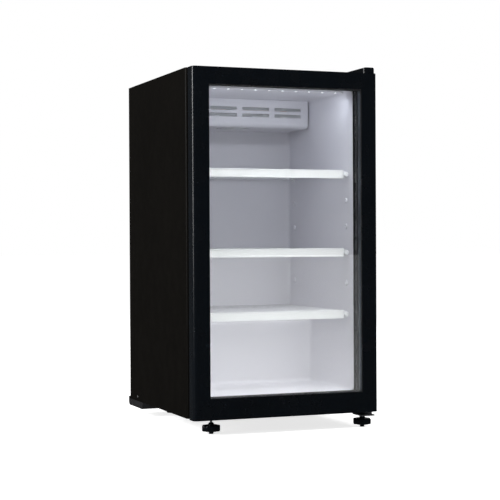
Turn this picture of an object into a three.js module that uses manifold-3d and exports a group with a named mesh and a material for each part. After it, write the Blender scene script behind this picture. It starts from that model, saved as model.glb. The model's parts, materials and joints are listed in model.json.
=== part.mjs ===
// Under-counter glass door merchandiser: an upright drinks cooler with one hinged glass door,
// three wire shelves on pegs and a compressor bay with a wire-on-tube condenser at the back.
// Units are millimetres and +Z is up. The door faces -Y and its hinges are on the +X side.
// The exported group has its origin on the floor, under the middle of the whole object.
// Inside it the pieces are placed from the left side (X), from the face of the door
// backwards (Y) and from the underside of the cabinet upwards (Z).

import * as THREE from 'three';
import { mergeVertices } from 'three/addons/utils/BufferGeometryUtils.js';
import Module from 'manifold-3d';

const wasm = await Module();
wasm.setup();

// ---------------------------------------------------------------- driving dimensions

const WIDTH = 460;
const DEPTH = 517;
const HEIGHT = 800;
const FOOT_HEIGHT = 38;
const GAP = 0.3;
const SHEET = 1.2;
const SIDE_INSET = 1;

const DOOR_THICKNESS = 42;
const DOOR_HEIGHT = 798;
const CABINET_FRONT = 50;
const CABINET_REAR = 509;
const FRONT_FLANGE = 14;
const REAR_FLANGE = 12;
const CORNER_RADIUS = 7;

const WINDOW = { x: [39, 420], z: [48, 759] };
const GLASS_LAP = 8;
const GLASS_RECESS = 4;
const PANE = 4;
const PANE_SPACING = 16;

const INSIDE = { x: [40, 420], y: [52.7, 438], z: [48, 760] };
const HUMP_FRONT = 300;
const HUMP_TOP = 205;
const LINER = 1.5;
const COLD_RADIUS = 8;
const BACK_PANEL = 478;
const BAY_FRONT = 342.5;
const BAY_TOP = 165;
const TRAY_FRONT = 398;

const HINGE = { x: 445, y: 19 };
const PIN_RADIUS = 4;
const PIN_REACH = 12;

const SHELF_LEVELS = { top: 553, middle: 366, bottom: 218 };
const STRIP_HEIGHT = 20;
const ROD_RADIUS = 2.5;
const WIRE_RADIUS = 1.5;
const PEG_RADIUS = 6.5;
const PEG_LENGTH = 9;

const LEFT_FOOT = { x: 62, y: 60 };
const RIGHT_FOOT = { x: 434, y: 34 };
const STUD_RADIUS = 3;

const FAN = { x: 230, y: 356 };
const REAR_COVER = 504;

// ---------------------------------------------------------------- shapes and solids

const X_AXIS = new THREE.Vector3(1, 0, 0);
const Y_AXIS = new THREE.Vector3(0, 1, 0);
const Z_AXIS = new THREE.Vector3(0, 0, 1);

// A closed outline from corners of [u, v, fillet radius].
function outline(corners) {
  const shape = new THREE.Shape();
  const at = (i) => new THREE.Vector2(...corners[(i + corners.length) % corners.length].slice(0, 2));
  corners.forEach(([, , radius = 0], i) => {
    const corner = at(i);
    const back = at(i - 1).sub(corner).normalize();
    const onward = at(i + 1).sub(corner).normalize();
    const half = Math.acos(THREE.MathUtils.clamp(back.dot(onward), -1, 1)) / 2;
    const start = corner.clone().addScaledVector(back, radius / Math.tan(half));
    const end = corner.clone().addScaledVector(onward, radius / Math.tan(half));
    if (i === 0) shape.moveTo(start.x, start.y);
    else shape.lineTo(start.x, start.y);
    if (radius > 0) {
      const inward = back.clone().add(onward).normalize();
      const centre = corner.clone().addScaledVector(inward, radius / Math.sin(half));
      const from = start.clone().sub(centre).angle();
      const to = end.clone().sub(centre).angle();
      shape.absarc(centre.x, centre.y, radius, from, to, back.cross(onward) > 0);
    }
  });
  shape.closePath();
  return shape;
}

// A rectangle from two [low, high] pairs, with one fillet radius.
function rectangle([u0, u1], [v0, v1], radius = 0) {
  return outline([[u0, v0, radius], [u1, v0, radius], [u1, v1, radius], [u0, v1, radius]]);
}

// Extrudes a shape whose u and v lie along two axes; the length runs along u x v.
function prism(shape, length, u, v, origin, curveSegments = 4) {
  const geometry = new THREE.ExtrudeGeometry(shape, {
    depth: length,
    bevelEnabled: false,
    curveSegments,
  });
  const across = new THREE.Vector3().crossVectors(u, v);
  geometry.applyMatrix4(new THREE.Matrix4().makeBasis(u, v, across).setPosition(...origin));
  return geometry;
}

function alongX(shape, [x0, x1], segments) {
  return prism(shape, x1 - x0, Y_AXIS, Z_AXIS, [x0, 0, 0], segments);
}

function alongY(shape, [y0, y1], segments) {
  return prism(shape, y1 - y0, X_AXIS, Z_AXIS, [0, y1, 0], segments);
}

function alongZ(shape, [z0, z1], segments) {
  return prism(shape, z1 - z0, X_AXIS, Y_AXIS, [0, 0, z0], segments);
}

function block([x0, x1], [y0, y1], [z0, z1]) {
  const geometry = new THREE.BoxGeometry(x1 - x0, y1 - y0, z1 - z0);
  geometry.translate((x0 + x1) / 2, (y0 + y1) / 2, (z0 + z1) / 2);
  return geometry;
}

// A solid of revolution about a line parallel to Z, from a profile of [radius, height].
function turned(profile, { x, y }, sides = 20) {
  const points = profile.map(([r, z]) => new THREE.Vector2(r, z));
  const geometry = new THREE.LatheGeometry(points, sides);
  geometry.rotateX(Math.PI / 2);
  geometry.translate(x, y, 0);
  return geometry;
}

// The same about a line parallel to Y, with the profile's height running to the rear.
function turnedToRear(profile, { x, z }, sides = 20) {
  const geometry = turned(profile, { x: 0, y: 0 }, sides);
  geometry.rotateX(-Math.PI / 2);
  geometry.translate(x, 0, z);
  return geometry;
}

function cylinder(radius, { x, y }, [z0, z1], sides = 16) {
  return turned([[0, z0], [radius, z0], [radius, z1], [0, z1]], { x, y }, sides);
}

function rod(from, to, radius, sides = 6) {
  const start = new THREE.Vector3(...from);
  const along = new THREE.Vector3(...to).sub(start);
  const geometry = new THREE.CylinderGeometry(radius, radius, along.length(), sides);
  geometry.translate(0, along.length() / 2, 0);
  const turn = new THREE.Quaternion().setFromUnitVectors(Y_AXIS, along.clone().normalize());
  geometry.applyQuaternion(turn);
  geometry.translate(start.x, start.y, start.z);
  return geometry;
}

function toSolid(geometry) {
  const bare = geometry.clone();
  bare.deleteAttribute('normal');
  bare.deleteAttribute('uv');
  const merged = mergeVertices(bare, 1e-4);
  return new wasm.Manifold(new wasm.Mesh({
    numProp: 3,
    vertProperties: new Float32Array(merged.attributes.position.array),
    triVerts: new Uint32Array(merged.index.array),
  }));
}

function toGeometry(solid) {
  const mesh = solid.getMesh();
  const geometry = new THREE.BufferGeometry();
  geometry.setAttribute('position', new THREE.BufferAttribute(mesh.vertProperties, 3));
  geometry.setIndex(new THREE.BufferAttribute(mesh.triVerts, 1));
  geometry.computeVertexNormals();
  return geometry;
}

function joined(...pieces) {
  return toGeometry(pieces.map(toSolid).reduce((whole, piece) => whole.add(piece)));
}

function cut(body, ...tools) {
  return toGeometry(tools.map(toSolid).reduce((whole, tool) => whole.subtract(tool), toSolid(body)));
}

function common(a, b) {
  return toGeometry(toSolid(a).intersect(toSolid(b)));
}

// A flat ring between two rectangles, standing upright, with its depth along Y.
function uprightRing(outer, inner, y, radius = 0) {
  const shape = rectangle(outer.x, outer.z, radius);
  shape.holes.push(rectangle(inner.x, inner.z));
  return alongY(shape, y);
}

function grown({ x, z }, by) {
  return { x: [x[0] - by, x[1] + by], z: [z[0] - by, z[1] + by] };
}

// The section of a folded sheet: a web along u on v = 0, with a flange turned up at each end.
function channel([u0, u1], flangeStart, flangeEnd, radiusStart, radiusEnd) {
  return outline([
    [u0, flangeStart],
    [u0, 0, radiusStart],
    [u1, 0, radiusEnd],
    [u1, flangeEnd],
    [u1 - SHEET, flangeEnd],
    [u1 - SHEET, SHEET, radiusEnd - SHEET],
    [u0 + SHEET, SHEET, radiusStart - SHEET],
    [u0 + SHEET, flangeStart],
  ]);
}

// ---------------------------------------------------------------- materials

const FINISHES = {
  shellPaint: [0x17171a, 0.55, 0.2],
  innerWhite: [0xd8d8e2, 0.45, 0],
  foam: [0xd9c98a, 0.9, 0],
  blackPlastic: [0x101217, 0.4, 0],
  darkGasket: [0x0b0c0e, 0.8, 0],
  glass: [0xbfd6d2, 0.05, 0],
  spacerMetal: [0x8d939a, 0.35, 0.9],
  zincSteel: [0x7b7f86, 0.4, 0.9],
  blackSteel: [0x15161a, 0.5, 0.5],
  shelfWire: [0xe6e7ea, 0.35, 0.1],
  stripWhite: [0xf2f3f4, 0.4, 0],
  rubber: [0x18181a, 0.85, 0],
  galvanised: [0x9ea3a8, 0.45, 0.8],
  copper: [0xb06a42, 0.35, 0.9],
  diffuser: [0xf4f6ff, 0.3, 0],
};

const placed = new THREE.Group();
placed.position.set(-WIDTH / 2, -DEPTH / 2, FOOT_HEIGHT);

function part(name, geometry, finish) {
  const [color, roughness, metalness] = FINISHES[finish];
  const material = new THREE.MeshStandardMaterial({ color, roughness, metalness });
  const mesh = new THREE.Mesh(toGeometry(toSolid(geometry)), material);
  mesh.name = name;
  placed.add(mesh);
}

// ---------------------------------------------------------------- cabinet shell

const SHELL_X = [SIDE_INSET + SHEET + GAP, WIDTH - SIDE_INSET - SHEET - GAP];
const FLANGE_X = [SIDE_INSET + FRONT_FLANGE + GAP, WIDTH - SIDE_INSET - FRONT_FLANGE - GAP];
const CABINET_Y = [CABINET_FRONT, CABINET_REAR];

function addSidePanels() {
  const section = channel(CABINET_Y, FRONT_FLANGE, REAR_FLANGE, CORNER_RADIUS, 3);
  const left = prism(section, HEIGHT, Y_AXIS, X_AXIS, [SIDE_INSET, 0, HEIGHT]);
  const right = prism(section, HEIGHT, Y_AXIS, X_AXIS.clone().negate(), [WIDTH - SIDE_INSET, 0, 0]);
  part('side_panel_left', left, 'shellPaint');
  part('side_panel_right', right, 'shellPaint');
}

// Keeps a sheet or filling inside the two folded side panels and between their flanges.
function betweenSides(geometry) {
  const clear = SHEET + GAP;
  const insideY = [CABINET_FRONT + clear, CABINET_REAR - clear];
  const inside = alongZ(rectangle(SHELL_X, insideY, CORNER_RADIUS - clear), [-1, HEIGHT + 1]);
  return common(geometry, joined(inside, block(FLANGE_X, CABINET_Y, [-1, HEIGHT + 1])));
}

function addTopAndFloor() {
  const length = SHELL_X[1] - SHELL_X[0];
  const topSection = channel(CABINET_Y, FRONT_FLANGE, REAR_FLANGE, 3, 3);
  const top = prism(topSection, length, Y_AXIS, Z_AXIS.clone().negate(), [SHELL_X[1], 0, HEIGHT]);
  part('top_panel', betweenSides(top), 'shellPaint');

  const floorRear = BAY_FRONT - GAP;
  const floor = alongX(outline([
    [CABINET_FRONT, FRONT_FLANGE],
    [CABINET_FRONT, 0, 3],
    [floorRear, 0],
    [floorRear, SHEET],
    [CABINET_FRONT + SHEET, SHEET, 3 - SHEET],
    [CABINET_FRONT + SHEET, FRONT_FLANGE],
  ]), SHELL_X);
  const studHole = cylinder(STUD_RADIUS + 1.5, LEFT_FOOT, [-5, 5]);
  part('floor_panel', cut(betweenSides(floor), studHole), 'shellPaint');
}

function addBackAndBay() {
  const backZ = [BAY_TOP + SHEET + GAP, HEIGHT - SHEET - GAP];
  part('back_panel', block(SHELL_X, [BACK_PANEL, BACK_PANEL + SHEET], backZ), 'galvanised');

  const bay = alongX(outline([
    [BAY_FRONT, 0],
    [TRAY_FRONT - GAP, 0],
    [TRAY_FRONT - GAP, SHEET],
    [BAY_FRONT + SHEET, SHEET],
    [BAY_FRONT + SHEET, BAY_TOP, 2],
    [BACK_PANEL + SHEET, BAY_TOP],
    [BACK_PANEL + SHEET, BAY_TOP + SHEET],
    [BAY_FRONT, BAY_TOP + SHEET, 2 + SHEET],
  ]), SHELL_X);
  part('compressor_bay_panel', bay, 'galvanised');
}

// ---------------------------------------------------------------- foam, liner and trim

// The side view of the cold space, grown outwards by a distance, open at the front.
function coldSpace(growth, frontY) {
  const convex = COLD_RADIUS + growth;
  const reflex = COLD_RADIUS - growth;
  const floor = INSIDE.z[0] - growth;
  const ceiling = INSIDE.z[1] + growth;
  const rear = INSIDE.y[1] + growth;
  return outline([
    [frontY, floor],
    [HUMP_FRONT + growth, floor, convex],
    [HUMP_FRONT + growth, HUMP_TOP - growth, reflex],
    [rear, HUMP_TOP - growth, convex],
    [rear, ceiling, convex],
    [frontY, ceiling],
  ]);
}

function addInsulation() {
  const front = CABINET_FRONT + 2 * SHEET + GAP;
  const clear = SHEET + GAP;
  const filling = alongX(outline([
    [front, clear],
    [BAY_FRONT - GAP, clear],
    [BAY_FRONT - GAP, BAY_TOP + clear],
    [BACK_PANEL - GAP, BAY_TOP + clear],
    [BACK_PANEL - GAP, HEIGHT - clear],
    [front, HEIGHT - clear],
  ]), SHELL_X);
  const growth = LINER + GAP;
  const cavityX = [INSIDE.x[0] - growth, INSIDE.x[1] + growth];
  const cavity = alongX(coldSpace(growth, CABINET_FRONT - 1), cavityX);
  const studPocket = cylinder(STUD_RADIUS + 2, LEFT_FOOT, [-1, 26]);
  part('foam_insulation', cut(betweenSides(filling), cavity, studPocket), 'foam');
}

function addLiner() {
  const outerX = [INSIDE.x[0] - LINER, INSIDE.x[1] + LINER];
  const outer = alongX(coldSpace(LINER, INSIDE.y[0]), outerX);
  const inner = alongX(coldSpace(0, INSIDE.y[0] - 1), INSIDE.x);
  part('inner_liner', cut(outer, inner), 'innerWhite');
}

function addFrontTrim() {
  const outer = { x: FLANGE_X, z: [FRONT_FLANGE + GAP, HEIGHT - FRONT_FLANGE - GAP] };
  const face = uprightRing(outer, INSIDE, [CABINET_FRONT, INSIDE.y[0] - GAP]);
  part('front_trim_frame', face, 'blackPlastic');
}

// ---------------------------------------------------------------- base, feet and compressor bay

const TRAY = { y: [TRAY_FRONT, DEPTH], z: [-17, -GAP], wall: 2 };
const BAY_FLOOR = TRAY.z[0] + TRAY.wall + GAP;

function addBaseTray() {
  const lipTop = 5;
  const [front, rear] = TRAY.y;
  const [under, top] = TRAY.z;
  const outer = alongX(outline([
    [front, top],
    [front, under, 3],
    [rear, under, 10],
    [rear, lipTop, 0.8],
    [CABINET_REAR + GAP, lipTop],
    [CABINET_REAR + GAP, top],
  ]), [0, WIDTH]);
  const wall = TRAY.wall;
  const pocket = alongX(outline([
    [front + wall, lipTop + 1],
    [front + wall, under + wall, 1],
    [rear - wall, under + wall, 10 - wall],
    [rear - wall, lipTop + 1],
  ]), [wall, WIDTH - wall]);
  part('base_tray', cut(outer, pocket), 'blackSteel');
}

function addRearFeet() {
  const profile = [[0, -FOOT_HEIGHT], [11, -FOOT_HEIGHT], [12.5, -36.5], [15, TRAY.z[0] - GAP],
    [0, TRAY.z[0] - GAP]];
  part('rear_foot_left', turned(profile, { x: 100, y: 470 }), 'rubber');
  part('rear_foot_right', turned(profile, { x: 360, y: 470 }), 'rubber');
}

const THERMOSTAT = { x: 400, z: 140 };
const DIAL_START = 135;
const ROCKER = { x: 345, z: 140 };
const CORD_INLET = { x: 420, z: 40 };

function addRearCover() {
  const sheetY = [REAR_COVER, REAR_COVER + SHEET];
  const throughY = [REAR_COVER - 5, REAR_COVER + 5];
  const slots = [];
  for (let row = 0; row < 9; row += 1) {
    const z = 22 + row * 14;
    for (const x of [30, 120, 210]) {
      slots.push(block([x, x + 76], throughY, [z, z + 5]));
    }
  }
  const rockerHole = block([ROCKER.x - 7, ROCKER.x + 7], throughY, [ROCKER.z - 10, ROCKER.z + 10]);
  const coverX = [SHELL_X[0] + 1, SHELL_X[1] - 1];
  const cover = block(coverX, sheetY, [BAY_FLOOR, 182]);
  part('rear_cover', cut(cover, rockerHole, ...slots), 'galvanised');
}

function addRearControls() {
  const face = REAR_COVER + SHEET + GAP;
  const dial = turnedToRear([[0, face], [15, face], [15, face + 2], [12, face + 3.5],
    [11, DEPTH - 1.5], [10, DEPTH - 1], [0, DEPTH - 1]], THERMOSTAT, 24);
  const pointer = block([-1.2, 1.2], [face + 1, DEPTH - GAP], [-2, 11.5]);
  pointer.rotateY(THREE.MathUtils.degToRad(DIAL_START));
  pointer.translate(THERMOSTAT.x, 0, THERMOSTAT.z);
  part('thermostat_knob', joined(dial, pointer), 'blackPlastic');

  const tilt = THREE.MathUtils.degToRad(-7);
  const pivotY = REAR_COVER + SHEET / 2;
  const rocker = alongX(outline([
    [-2.6, -8.8, 1],
    [4, -9.2, 0.8],
    [2.6, 0],
    [4, 9.2, 0.8],
    [-2.6, 8.8, 1],
  ]), [ROCKER.x - 6.5, ROCKER.x + 6.5], 3);
  rocker.rotateX(tilt);
  rocker.translate(0, pivotY, ROCKER.z);
  part('light_switch', rocker, 'blackPlastic');

  const gland = turnedToRear([[0, face], [11, face], [11, face + 3], [8, face + 3.5],
    [6.5, DEPTH - 0.5], [4.5, DEPTH - 0.5], [4.5, face + 3], [0, face + 3]], CORD_INLET);
  part('cord_gland', gland, 'rubber');
}

const COMPRESSOR = { x: 310, y: 446 };
const MOUNT_SPREAD = { x: 78, y: 31 };

function addCompressor() {
  const seat = -3;
  const plateX = [COMPRESSOR.x - 92, COMPRESSOR.x + 92];
  const plateY = [COMPRESSOR.y - 43, COMPRESSOR.y + 43];
  const plate = alongZ(rectangle(plateX, plateY, 10), [seat, seat + 3]);
  const pot = turned([[0, seat + 2], [46, seat + 2], [56, 10], [58, 30], [58, 72], [61, 72],
    [61, 78], [58, 78], [57, 112], [50, 130], [34, 141], [0, 145]], { x: 0, y: 0 }, 24);
  pot.scale(1.2, 0.9, 1);
  pot.translate(COMPRESSOR.x, COMPRESSOR.y, 0);
  part('compressor', joined(plate, pot), 'blackSteel');

  let number = 1;
  for (const sideY of [-1, 1]) {
    for (const sideX of [-1, 1]) {
      const place = {
        x: COMPRESSOR.x + sideX * MOUNT_SPREAD.x,
        y: COMPRESSOR.y + sideY * MOUNT_SPREAD.y,
      };
      const mount = turned([[0, BAY_FLOOR], [11, BAY_FLOOR], [11, BAY_FLOOR + 4], [8, BAY_FLOOR + 6],
        [11, seat - GAP - 3], [11, seat - GAP], [0, seat - GAP]], place, 16);
      part(`compressor_mount_${number}`, mount, 'rubber');
      number += 1;
    }
  }
}

function addEvaporationTray() {
  const x = [40, 190];
  const y = [403, 498];
  const outer = alongZ(rectangle(x, y, 10), [BAY_FLOOR, 26]);
  const wall = 2;
  const inner = alongZ(
    rectangle([x[0] + wall, x[1] - wall], [y[0] + wall, y[1] - wall], 10 - wall),
    [BAY_FLOOR + wall, 30],
  );
  part('evaporation_tray', cut(outer, inner), 'blackPlastic');
}

// ---------------------------------------------------------------- refrigerant tubes

// A tube route of straight runs along X joined by half-circle bends, in an upright plane.
// Each straight run is one step and each bend is several, so flat lengths stay one facet long.
class Serpentine extends THREE.Curve {
  constructor([x0, x1], y, [z0, z1], runs, bendSteps) {
    super();
    this.pitch = (z1 - z0) / (runs - 1);
    Object.assign(this, { x0, x1, y, z0, runs, bendSteps });
    this.steps = runs + (runs - 1) * bendSteps;
  }

  // The point and the direction after a number of whole or part steps.
  state(t) {
    const step = THREE.MathUtils.clamp(t, 0, 1) * this.steps;
    const stretch = 1 + this.bendSteps;
    const run = Math.min(Math.floor(step / stretch), this.runs - 1);
    const within = step - run * stretch;
    const radius = this.pitch / 2;
    const [low, high] = [this.x0 + radius, this.x1 - radius];
    const heading = run % 2 === 0 ? 1 : -1;
    const startZ = this.z0 + run * this.pitch;
    if (within <= 1) {
      const x = heading > 0 ? low + (high - low) * within : high - (high - low) * within;
      return [new THREE.Vector3(x, this.y, startZ), new THREE.Vector3(heading, 0, 0)];
    }
    const angle = ((within - 1) / this.bendSteps) * Math.PI;
    const end = heading > 0 ? high : low;
    const x = end + heading * radius * Math.sin(angle);
    const z = startZ + radius * (1 - Math.cos(angle));
    return [
      new THREE.Vector3(x, this.y, z),
      new THREE.Vector3(heading * Math.cos(angle), 0, Math.sin(angle)),
    ];
  }

  getPoint(t) {
    return this.state(t)[0];
  }

  getPointAt(t) {
    return this.state(t)[0];
  }

  getTangentAt(t) {
    return this.state(t)[1];
  }
}

function tube(route, radius, sides = 8) {
  const section = new THREE.Shape();
  for (let i = 0; i < sides; i += 1) {
    const angle = (2 * Math.PI * i) / sides;
    const [u, v] = [radius * Math.cos(angle), radius * Math.sin(angle)];
    if (i === 0) section.moveTo(u, v);
    else section.lineTo(u, v);
  }
  section.closePath();
  return new THREE.ExtrudeGeometry(section, { steps: route.steps, extrudePath: route });
}

const CONDENSER = { x: [38, 422], y: 491, z: [215, 765], runs: 11, radius: 2.5 };

function addCondenser() {
  const { x, y, z, runs, radius } = CONDENSER;
  part('condenser_coil', tube(new Serpentine(x, y, z, runs, 4), radius, 6), 'blackSteel');

  const wires = [];
  const wireY = [y + radius + GAP, y + radius + GAP + 1.6];
  for (let i = 0; i < 15; i += 1) {
    const wireX = x[0] + 20 + i * 24.5;
    wires.push(block([wireX, wireX + 1.6], wireY, [z[0] - 12, z[1] + 12]));
  }
  for (const barZ of [z[0] - 12, (z[0] + z[1]) / 2 - 4, z[1] + 4]) {
    wires.push(block([x[0] + 10, x[1] - 10], [wireY[1] - 0.8, wireY[1] + 1.2], [barZ, barZ + 8]));
  }
  part('condenser_wires', joined(...wires), 'blackSteel');
}

// ---------------------------------------------------------------- evaporator and fan

const UNIT = { x: [45, 415], y: [304, INSIDE.y[1] - GAP], z: [690, INSIDE.z[1] - GAP], wall: 2 };
const FAN_OPENING = 43;

function addEvaporator() {
  const { x, y, z, wall } = UNIT;
  const shell = alongX(outline([
    [y[0], z[1]],
    [y[0], z[0], 12],
    [y[1], z[0]],
    [y[1], z[1], COLD_RADIUS + 1],
  ]), x);
  const hollow = alongX(outline([
    [y[0] + wall, z[1] + 1],
    [y[0] + wall, z[0] + wall, 12 - wall],
    [y[1] + 1, z[0] + wall],
    [y[1] + 1, z[1] + 1],
  ]), [x[0] + wall, x[1] - wall]);
  const fanHole = cylinder(FAN_OPENING, FAN, [z[0] - 1, z[0] + wall + 1], 28);
  const slots = [];
  for (let column = 0; column < 4; column += 1) {
    for (let row = 0; row < 2; row += 1) {
      const slotX = 62 + column * 87;
      const slotZ = 716 + row * 16;
      slots.push(block([slotX, slotX + 72], [y[0] - 1, y[0] + wall + 1], [slotZ, slotZ + 8]));
    }
  }
  part('evaporator_cover', cut(shell, hollow, fanHole, ...slots), 'innerWhite');

  const route = new Serpentine([58, 402], 419, [704, 746], 4, 5);
  part('evaporator_coil', tube(route, 4), 'copper');
}

function addFan() {
  const floorTop = UNIT.z[0] + UNIT.wall + GAP;
  const motor = turned([[0, 716], [17, 716], [18, 717], [18, 739], [16, 741], [0, 741]], FAN, 20);
  const shaft = cylinder(2, FAN, [703, 717], 10);
  const arms = [];
  for (let i = 0; i < 3; i += 1) {
    const angle = Math.PI / 2 + (2 * Math.PI * i) / 3;
    const arm = joined(block([0, 49], [-3, 3], [718, 721]), block([46, 50], [-3, 3], [floorTop, 721]));
    arm.rotateZ(angle);
    arm.translate(FAN.x, FAN.y, 0);
    arms.push(arm);
  }
  part('fan_motor', joined(motor, shaft, ...arms), 'blackPlastic');

  const hub = turned([[0, 695], [9, 695], [11, 697], [11, 710], [2.6, 710], [2.6, 702], [0, 702]], FAN, 20);
  const blades = [];
  for (let i = 0; i < 5; i += 1) {
    const blade = block([8, 40], [-9, 9], [-0.8, 0.8]);
    blade.rotateX(THREE.MathUtils.degToRad(28));
    blade.rotateZ((2 * Math.PI * i) / 5);
    blade.translate(FAN.x, FAN.y, 702.5);
    blades.push(blade);
  }
  const bore = cylinder(2.6, FAN, [702, 712], 12);
  part('fan_blade', cut(joined(hub, ...blades), bore), 'blackPlastic');
}

function addLamp() {
  const top = INSIDE.z[1] - GAP;
  const section = outline([[62, top], [62, top - 4.2, 2], [78, top - 4.2, 2], [78, top]]);
  part('lamp_diffuser', alongX(section, [60, 400]), 'diffuser');
}

// ---------------------------------------------------------------- shelves

const SHELF = { x: [45, 415], y: [80, 428] };
const STRIP_X = [54, 406];
const STRIP_FRONT = 74.7;
const STRIP_SHEET = 1.5;
const BUTTON = { radius: 6, edge: 1.2, proud: 3, clear: 0.6, tab: 2 };
const PEG_Y = [90, 404];
const WIRE_COUNT = 15;

function shelfGrid(rodZ) {
  const { x: [x0, x1], y: [y0, y1] } = SHELF;
  const bars = [
    rod([x0 - ROD_RADIUS, y0, rodZ], [x1 + ROD_RADIUS, y0, rodZ], ROD_RADIUS),
    rod([x0 - ROD_RADIUS, y1, rodZ], [x1 + ROD_RADIUS, y1, rodZ], ROD_RADIUS),
    rod([x0, y0, rodZ], [x0, y1, rodZ], ROD_RADIUS),
    rod([x1, y0, rodZ], [x1, y1, rodZ], ROD_RADIUS),
    rod([x0, (y0 + y1) / 2, rodZ], [x1, (y0 + y1) / 2, rodZ], 2),
  ];
  const wireZ = rodZ + ROD_RADIUS + WIRE_RADIUS - 0.6;
  const pitch = (x1 - x0) / (WIRE_COUNT + 1);
  for (let i = 1; i <= WIRE_COUNT; i += 1) {
    const wireX = x0 + i * pitch;
    bars.push(rod([wireX, y0 - 0.5, wireZ], [wireX, y1 + 0.5, wireZ], WIRE_RADIUS, 4));
  }
  return joined(...bars);
}

function priceStrip(bottom, rodZ) {
  const top = bottom + STRIP_HEIGHT;
  const back = STRIP_FRONT + STRIP_SHEET;
  const underRod = rodZ - ROD_RADIUS - GAP;
  const strip = alongX(outline([
    [STRIP_FRONT, bottom, 0.5],
    [back, bottom],
    [back, underRod - 1.4],
    [SHELF.y[0] + 4, underRod - 1.4],
    [SHELF.y[0] + 4, underRod],
    [back, underRod],
    [back, top - 1.2],
    [back + 1, top - 1.2],
    [back + 1, top],
    [STRIP_FRONT, top, 0.5],
  ]), STRIP_X, 3);
  return joined(strip, ...STRIP_X.map((end) => endButton(end, bottom + STRIP_HEIGHT / 2)));
}

// A round button on a short tab that fills the space between one end of a price strip and the wall.
function endButton(stripEnd, z) {
  const { radius, edge, proud, clear, tab } = BUTTON;
  const outwards = Math.sign(stripEnd - WIDTH / 2);
  const x = stripEnd + outwards * (radius + clear);
  const front = STRIP_FRONT - proud;
  const rear = SHELF.y[0] - ROD_RADIUS - GAP;
  const button = turnedToRear([[0, front], [radius - edge, front], [radius, front + edge],
    [radius, rear], [0, rear]], { x, z }, 20);
  const tabX = [stripEnd - outwards, x].sort((a, b) => a - b);
  const tabY = [STRIP_FRONT + GAP, STRIP_FRONT + STRIP_SHEET - GAP];
  return joined(button, block(tabX, tabY, [z - tab, z + tab]));
}

function shelfPeg(wallX, inwards, pegY, pegZ, rodZ) {
  const peg = rod([wallX, pegY, pegZ], [wallX + inwards * PEG_LENGTH, pegY, pegZ], PEG_RADIUS, 12);
  const rodX = inwards > 0 ? SHELF.x[0] : SHELF.x[1];
  const notch = rod([rodX, pegY - 10, rodZ], [rodX, pegY + 10, rodZ], ROD_RADIUS + GAP + 0.2, 8);
  const above = ROD_RADIUS + GAP;
  const opening = block([rodX - above, rodX + above], [pegY - 10, pegY + 10], [rodZ, rodZ + 10]);
  return cut(peg, notch, opening);
}

function addShelves() {
  for (const [level, bottom] of Object.entries(SHELF_LEVELS)) {
    const pegZ = bottom + STRIP_HEIGHT / 2;
    const rodZ = pegZ + 4.9;
    part(`shelf_${level}`, shelfGrid(rodZ), 'shelfWire');
    part(`price_strip_${level}`, priceStrip(bottom, rodZ), 'stripWhite');
    const walls = { left: [INSIDE.x[0] + GAP, 1], right: [INSIDE.x[1] - GAP, -1] };
    for (const [side, [wallX, inwards]] of Object.entries(walls)) {
      const [front, rear] = PEG_Y;
      part(`shelf_peg_${level}_${side}_front`, shelfPeg(wallX, inwards, front, pegZ, rodZ), 'innerWhite');
      part(`shelf_peg_${level}_${side}_rear`, shelfPeg(wallX, inwards, rear, pegZ, rodZ), 'innerWhite');
    }
  }
}

// ---------------------------------------------------------------- door

function addDoor() {
  const gripDepth = 14;
  const gripY = DOOR_THICKNESS - 8;
  const section = outline([
    [0, 0, 9],
    [WIDTH, 0, 9],
    [WIDTH, DOOR_THICKNESS, 3],
    [gripDepth, DOOR_THICKNESS, 1.5],
    [gripDepth, gripY, 2],
    [0, gripY, 3],
  ]);
  const slab = alongZ(section, [0, DOOR_HEIGHT]);
  const throughY = [-1, DOOR_THICKNESS + 1];
  const opening = block(WINDOW.x, throughY, WINDOW.z);
  const pocket = grown(WINDOW, GLASS_LAP);
  const rebate = block(pocket.x, [GLASS_RECESS, DOOR_THICKNESS + 1], pocket.z);
  const socket = PIN_RADIUS + 0.5;
  const upper = cylinder(socket, HINGE, [DOOR_HEIGHT - PIN_REACH - 2, DOOR_HEIGHT + 1]);
  const lower = cylinder(socket, HINGE, [-1, PIN_REACH + 2]);
  part('door_frame', cut(slab, opening, rebate, upper, lower), 'blackPlastic');

  const fitted = grown(pocket, -GAP);
  const pane = rectangle(fitted.x, fitted.z);
  const outerY = [GLASS_RECESS + GAP, GLASS_RECESS + GAP + PANE];
  const spacerY = [outerY[1] + GAP, outerY[1] + PANE_SPACING - GAP];
  const innerY = [spacerY[1] + GAP, spacerY[1] + GAP + PANE];
  part('glass_outer', alongY(pane, outerY), 'glass');
  part('glass_spacer', uprightRing(fitted, WINDOW, spacerY), 'spacerMetal');
  part('glass_inner', alongY(pane, innerY), 'glass');
  part('door_inner_frame', uprightRing(fitted, WINDOW, [innerY[1] + GAP, DOOR_THICKNESS]), 'blackPlastic');

  const sealOuter = { x: [18, WIDTH - 18], z: [18, DOOR_HEIGHT - 18] };
  const sealY = [DOOR_THICKNESS + GAP, CABINET_FRONT - GAP];
  part('door_gasket', uprightRing(sealOuter, grown(sealOuter, -15), sealY, 2), 'darkGasket');
}

// ---------------------------------------------------------------- hinges

const HINGE_X = [428, 457];
const HINGE_COVER_TOP = HEIGHT + 12;

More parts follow.
